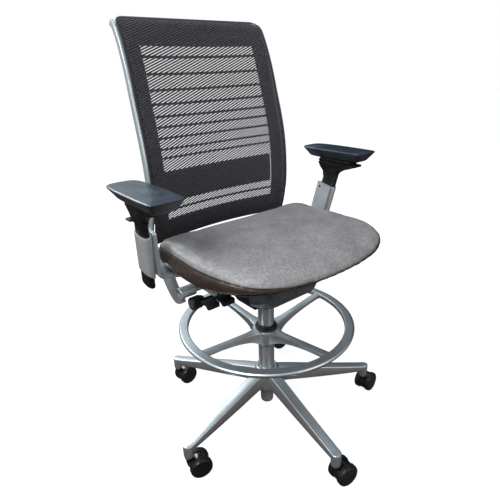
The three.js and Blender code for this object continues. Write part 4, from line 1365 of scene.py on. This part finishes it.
class World(Nodes):
    """The studio round the chair: white to look at, and for reflections a bright side and a dark side."""

    def __init__(self):
        made = bpy.data.worlds.new("studio")
        bpy.context.scene.world = made
        made.use_nodes = True
        self.tree = made.node_tree
        self.tree.nodes.clear()
        self.direction = self.tree.nodes.new("ShaderNodeTexCoord").outputs["Generated"]

    def towards(self, axis, low, high):
        """0 to 1 as a direction turns towards an axis, between the cosines low and high."""
        dot = self.node("ShaderNodeVectorMath", operation="DOT_PRODUCT")
        self.link(self.direction, dot.inputs[0])
        dot.inputs[1].default_value = Vector(axis).normalized()
        spread = self.node("ShaderNodeMapRange", clamp=True)
        spread.inputs["From Min"].default_value = low
        spread.inputs["From Max"].default_value = high
        self.link(dot.outputs["Value"], spread.inputs["Value"])
        return spread.outputs["Result"]


def world():
    w = World()
    height = w.towards((0, 0, 1), -1, 1)
    sky = w.ramp(height, [(0.0, (0.060, 0.042, 0.034)), (0.49, (0.13, 0.105, 0.09)),
                          (0.53, (0.34, 0.36, 0.38)), (0.70, (0.50, 0.58, 0.64)), (1.0, (0.62, 0.70, 0.76))])
    dark_side = w.towards((0.86, 0.30, 0.34), 0.74, 0.86)
    sky = w.mix(dark_side, sky, (0.010, 0.010, 0.013))
    far_side = w.towards((0.2, -0.95, 0.1), 0.55, 0.85)
    sky = w.mix(far_side, sky, (0.16, 0.15, 0.15))
    bright_side = w.towards((0.15, 0.55, 0.80), 0.80, 0.96)
    sky = w.mix(bright_side, sky, (0.88, 1.0, 1.06))
    patches = w.node("ShaderNodeTexNoise")
    patches.inputs["Scale"].default_value = 3.4
    patches.inputs["Detail"].default_value = 1.0
    w.link(w.direction, patches.inputs["Vector"])
    marks = w.ramp(patches.outputs["Fac"], [(0.39, (0.3, 0.28, 0.27)), (0.47, (1, 1, 1))])
    sky = w.mix(0.7, sky, marks, "MULTIPLY")
    light = w.node("ShaderNodeBackground")
    w.link(sky, light.inputs["Color"])
    light.inputs["Strength"].default_value = 1.0
    seen = w.node("ShaderNodeBackground")
    seen.inputs["Color"].default_value = (1, 1, 1, 1)
    path = w.node("ShaderNodeLightPath")
    blend = w.node("ShaderNodeMixShader")
    w.link(path.outputs["Is Camera Ray"], blend.inputs["Fac"])
    w.link(light.outputs["Background"], blend.inputs[1])
    w.link(seen.outputs["Background"], blend.inputs[2])
    w.link(blend.outputs["Shader"], w.node("ShaderNodeOutputWorld").inputs["Surface"])


def area_light(name, location, target, size, power, colour):
    data = bpy.data.lights.new(name, "AREA")
    data.shape = "RECTANGLE"
    data.size, data.size_y = size
    data.energy = power
    data.color = colour
    lamp = bpy.data.objects.new(name, data)
    lamp.location = location
    lamp.rotation_euler = (Vector(target) - Vector(location)).to_track_quat("-Z", "Y").to_euler()
    bpy.context.scene.collection.objects.link(lamp)


def stage():
    floor()
    world()
    area_light("key", (-1.9, -0.5, 2.4), (0, 0, 0.5), (1.1, 1.1), 52, (0.96, 0.98, 1.0))
    area_light("fill", (0.6, -2.4, 1.5), (0, 0, 0.4), (1.6, 1.2), 12, (1.0, 0.97, 0.94))
    area_light("rim", (-0.3, 2.2, 2.2), (0, 0.1, 0.6), (1.0, 1.0), 24, (0.92, 0.97, 1.0))
    bpy.context.scene.view_settings.view_transform = "Standard"


# ------------------------------------------------------------------ the chair
base_star()
gas_column()
for index in range(5):
    caster(index)
footring()
mechanism()
seat()
seat_parts()
back_frame()
knit(hem())
for sign, word in ((1, "left"), (-1, "right")):
    upright(sign, word)
arms()
stage()
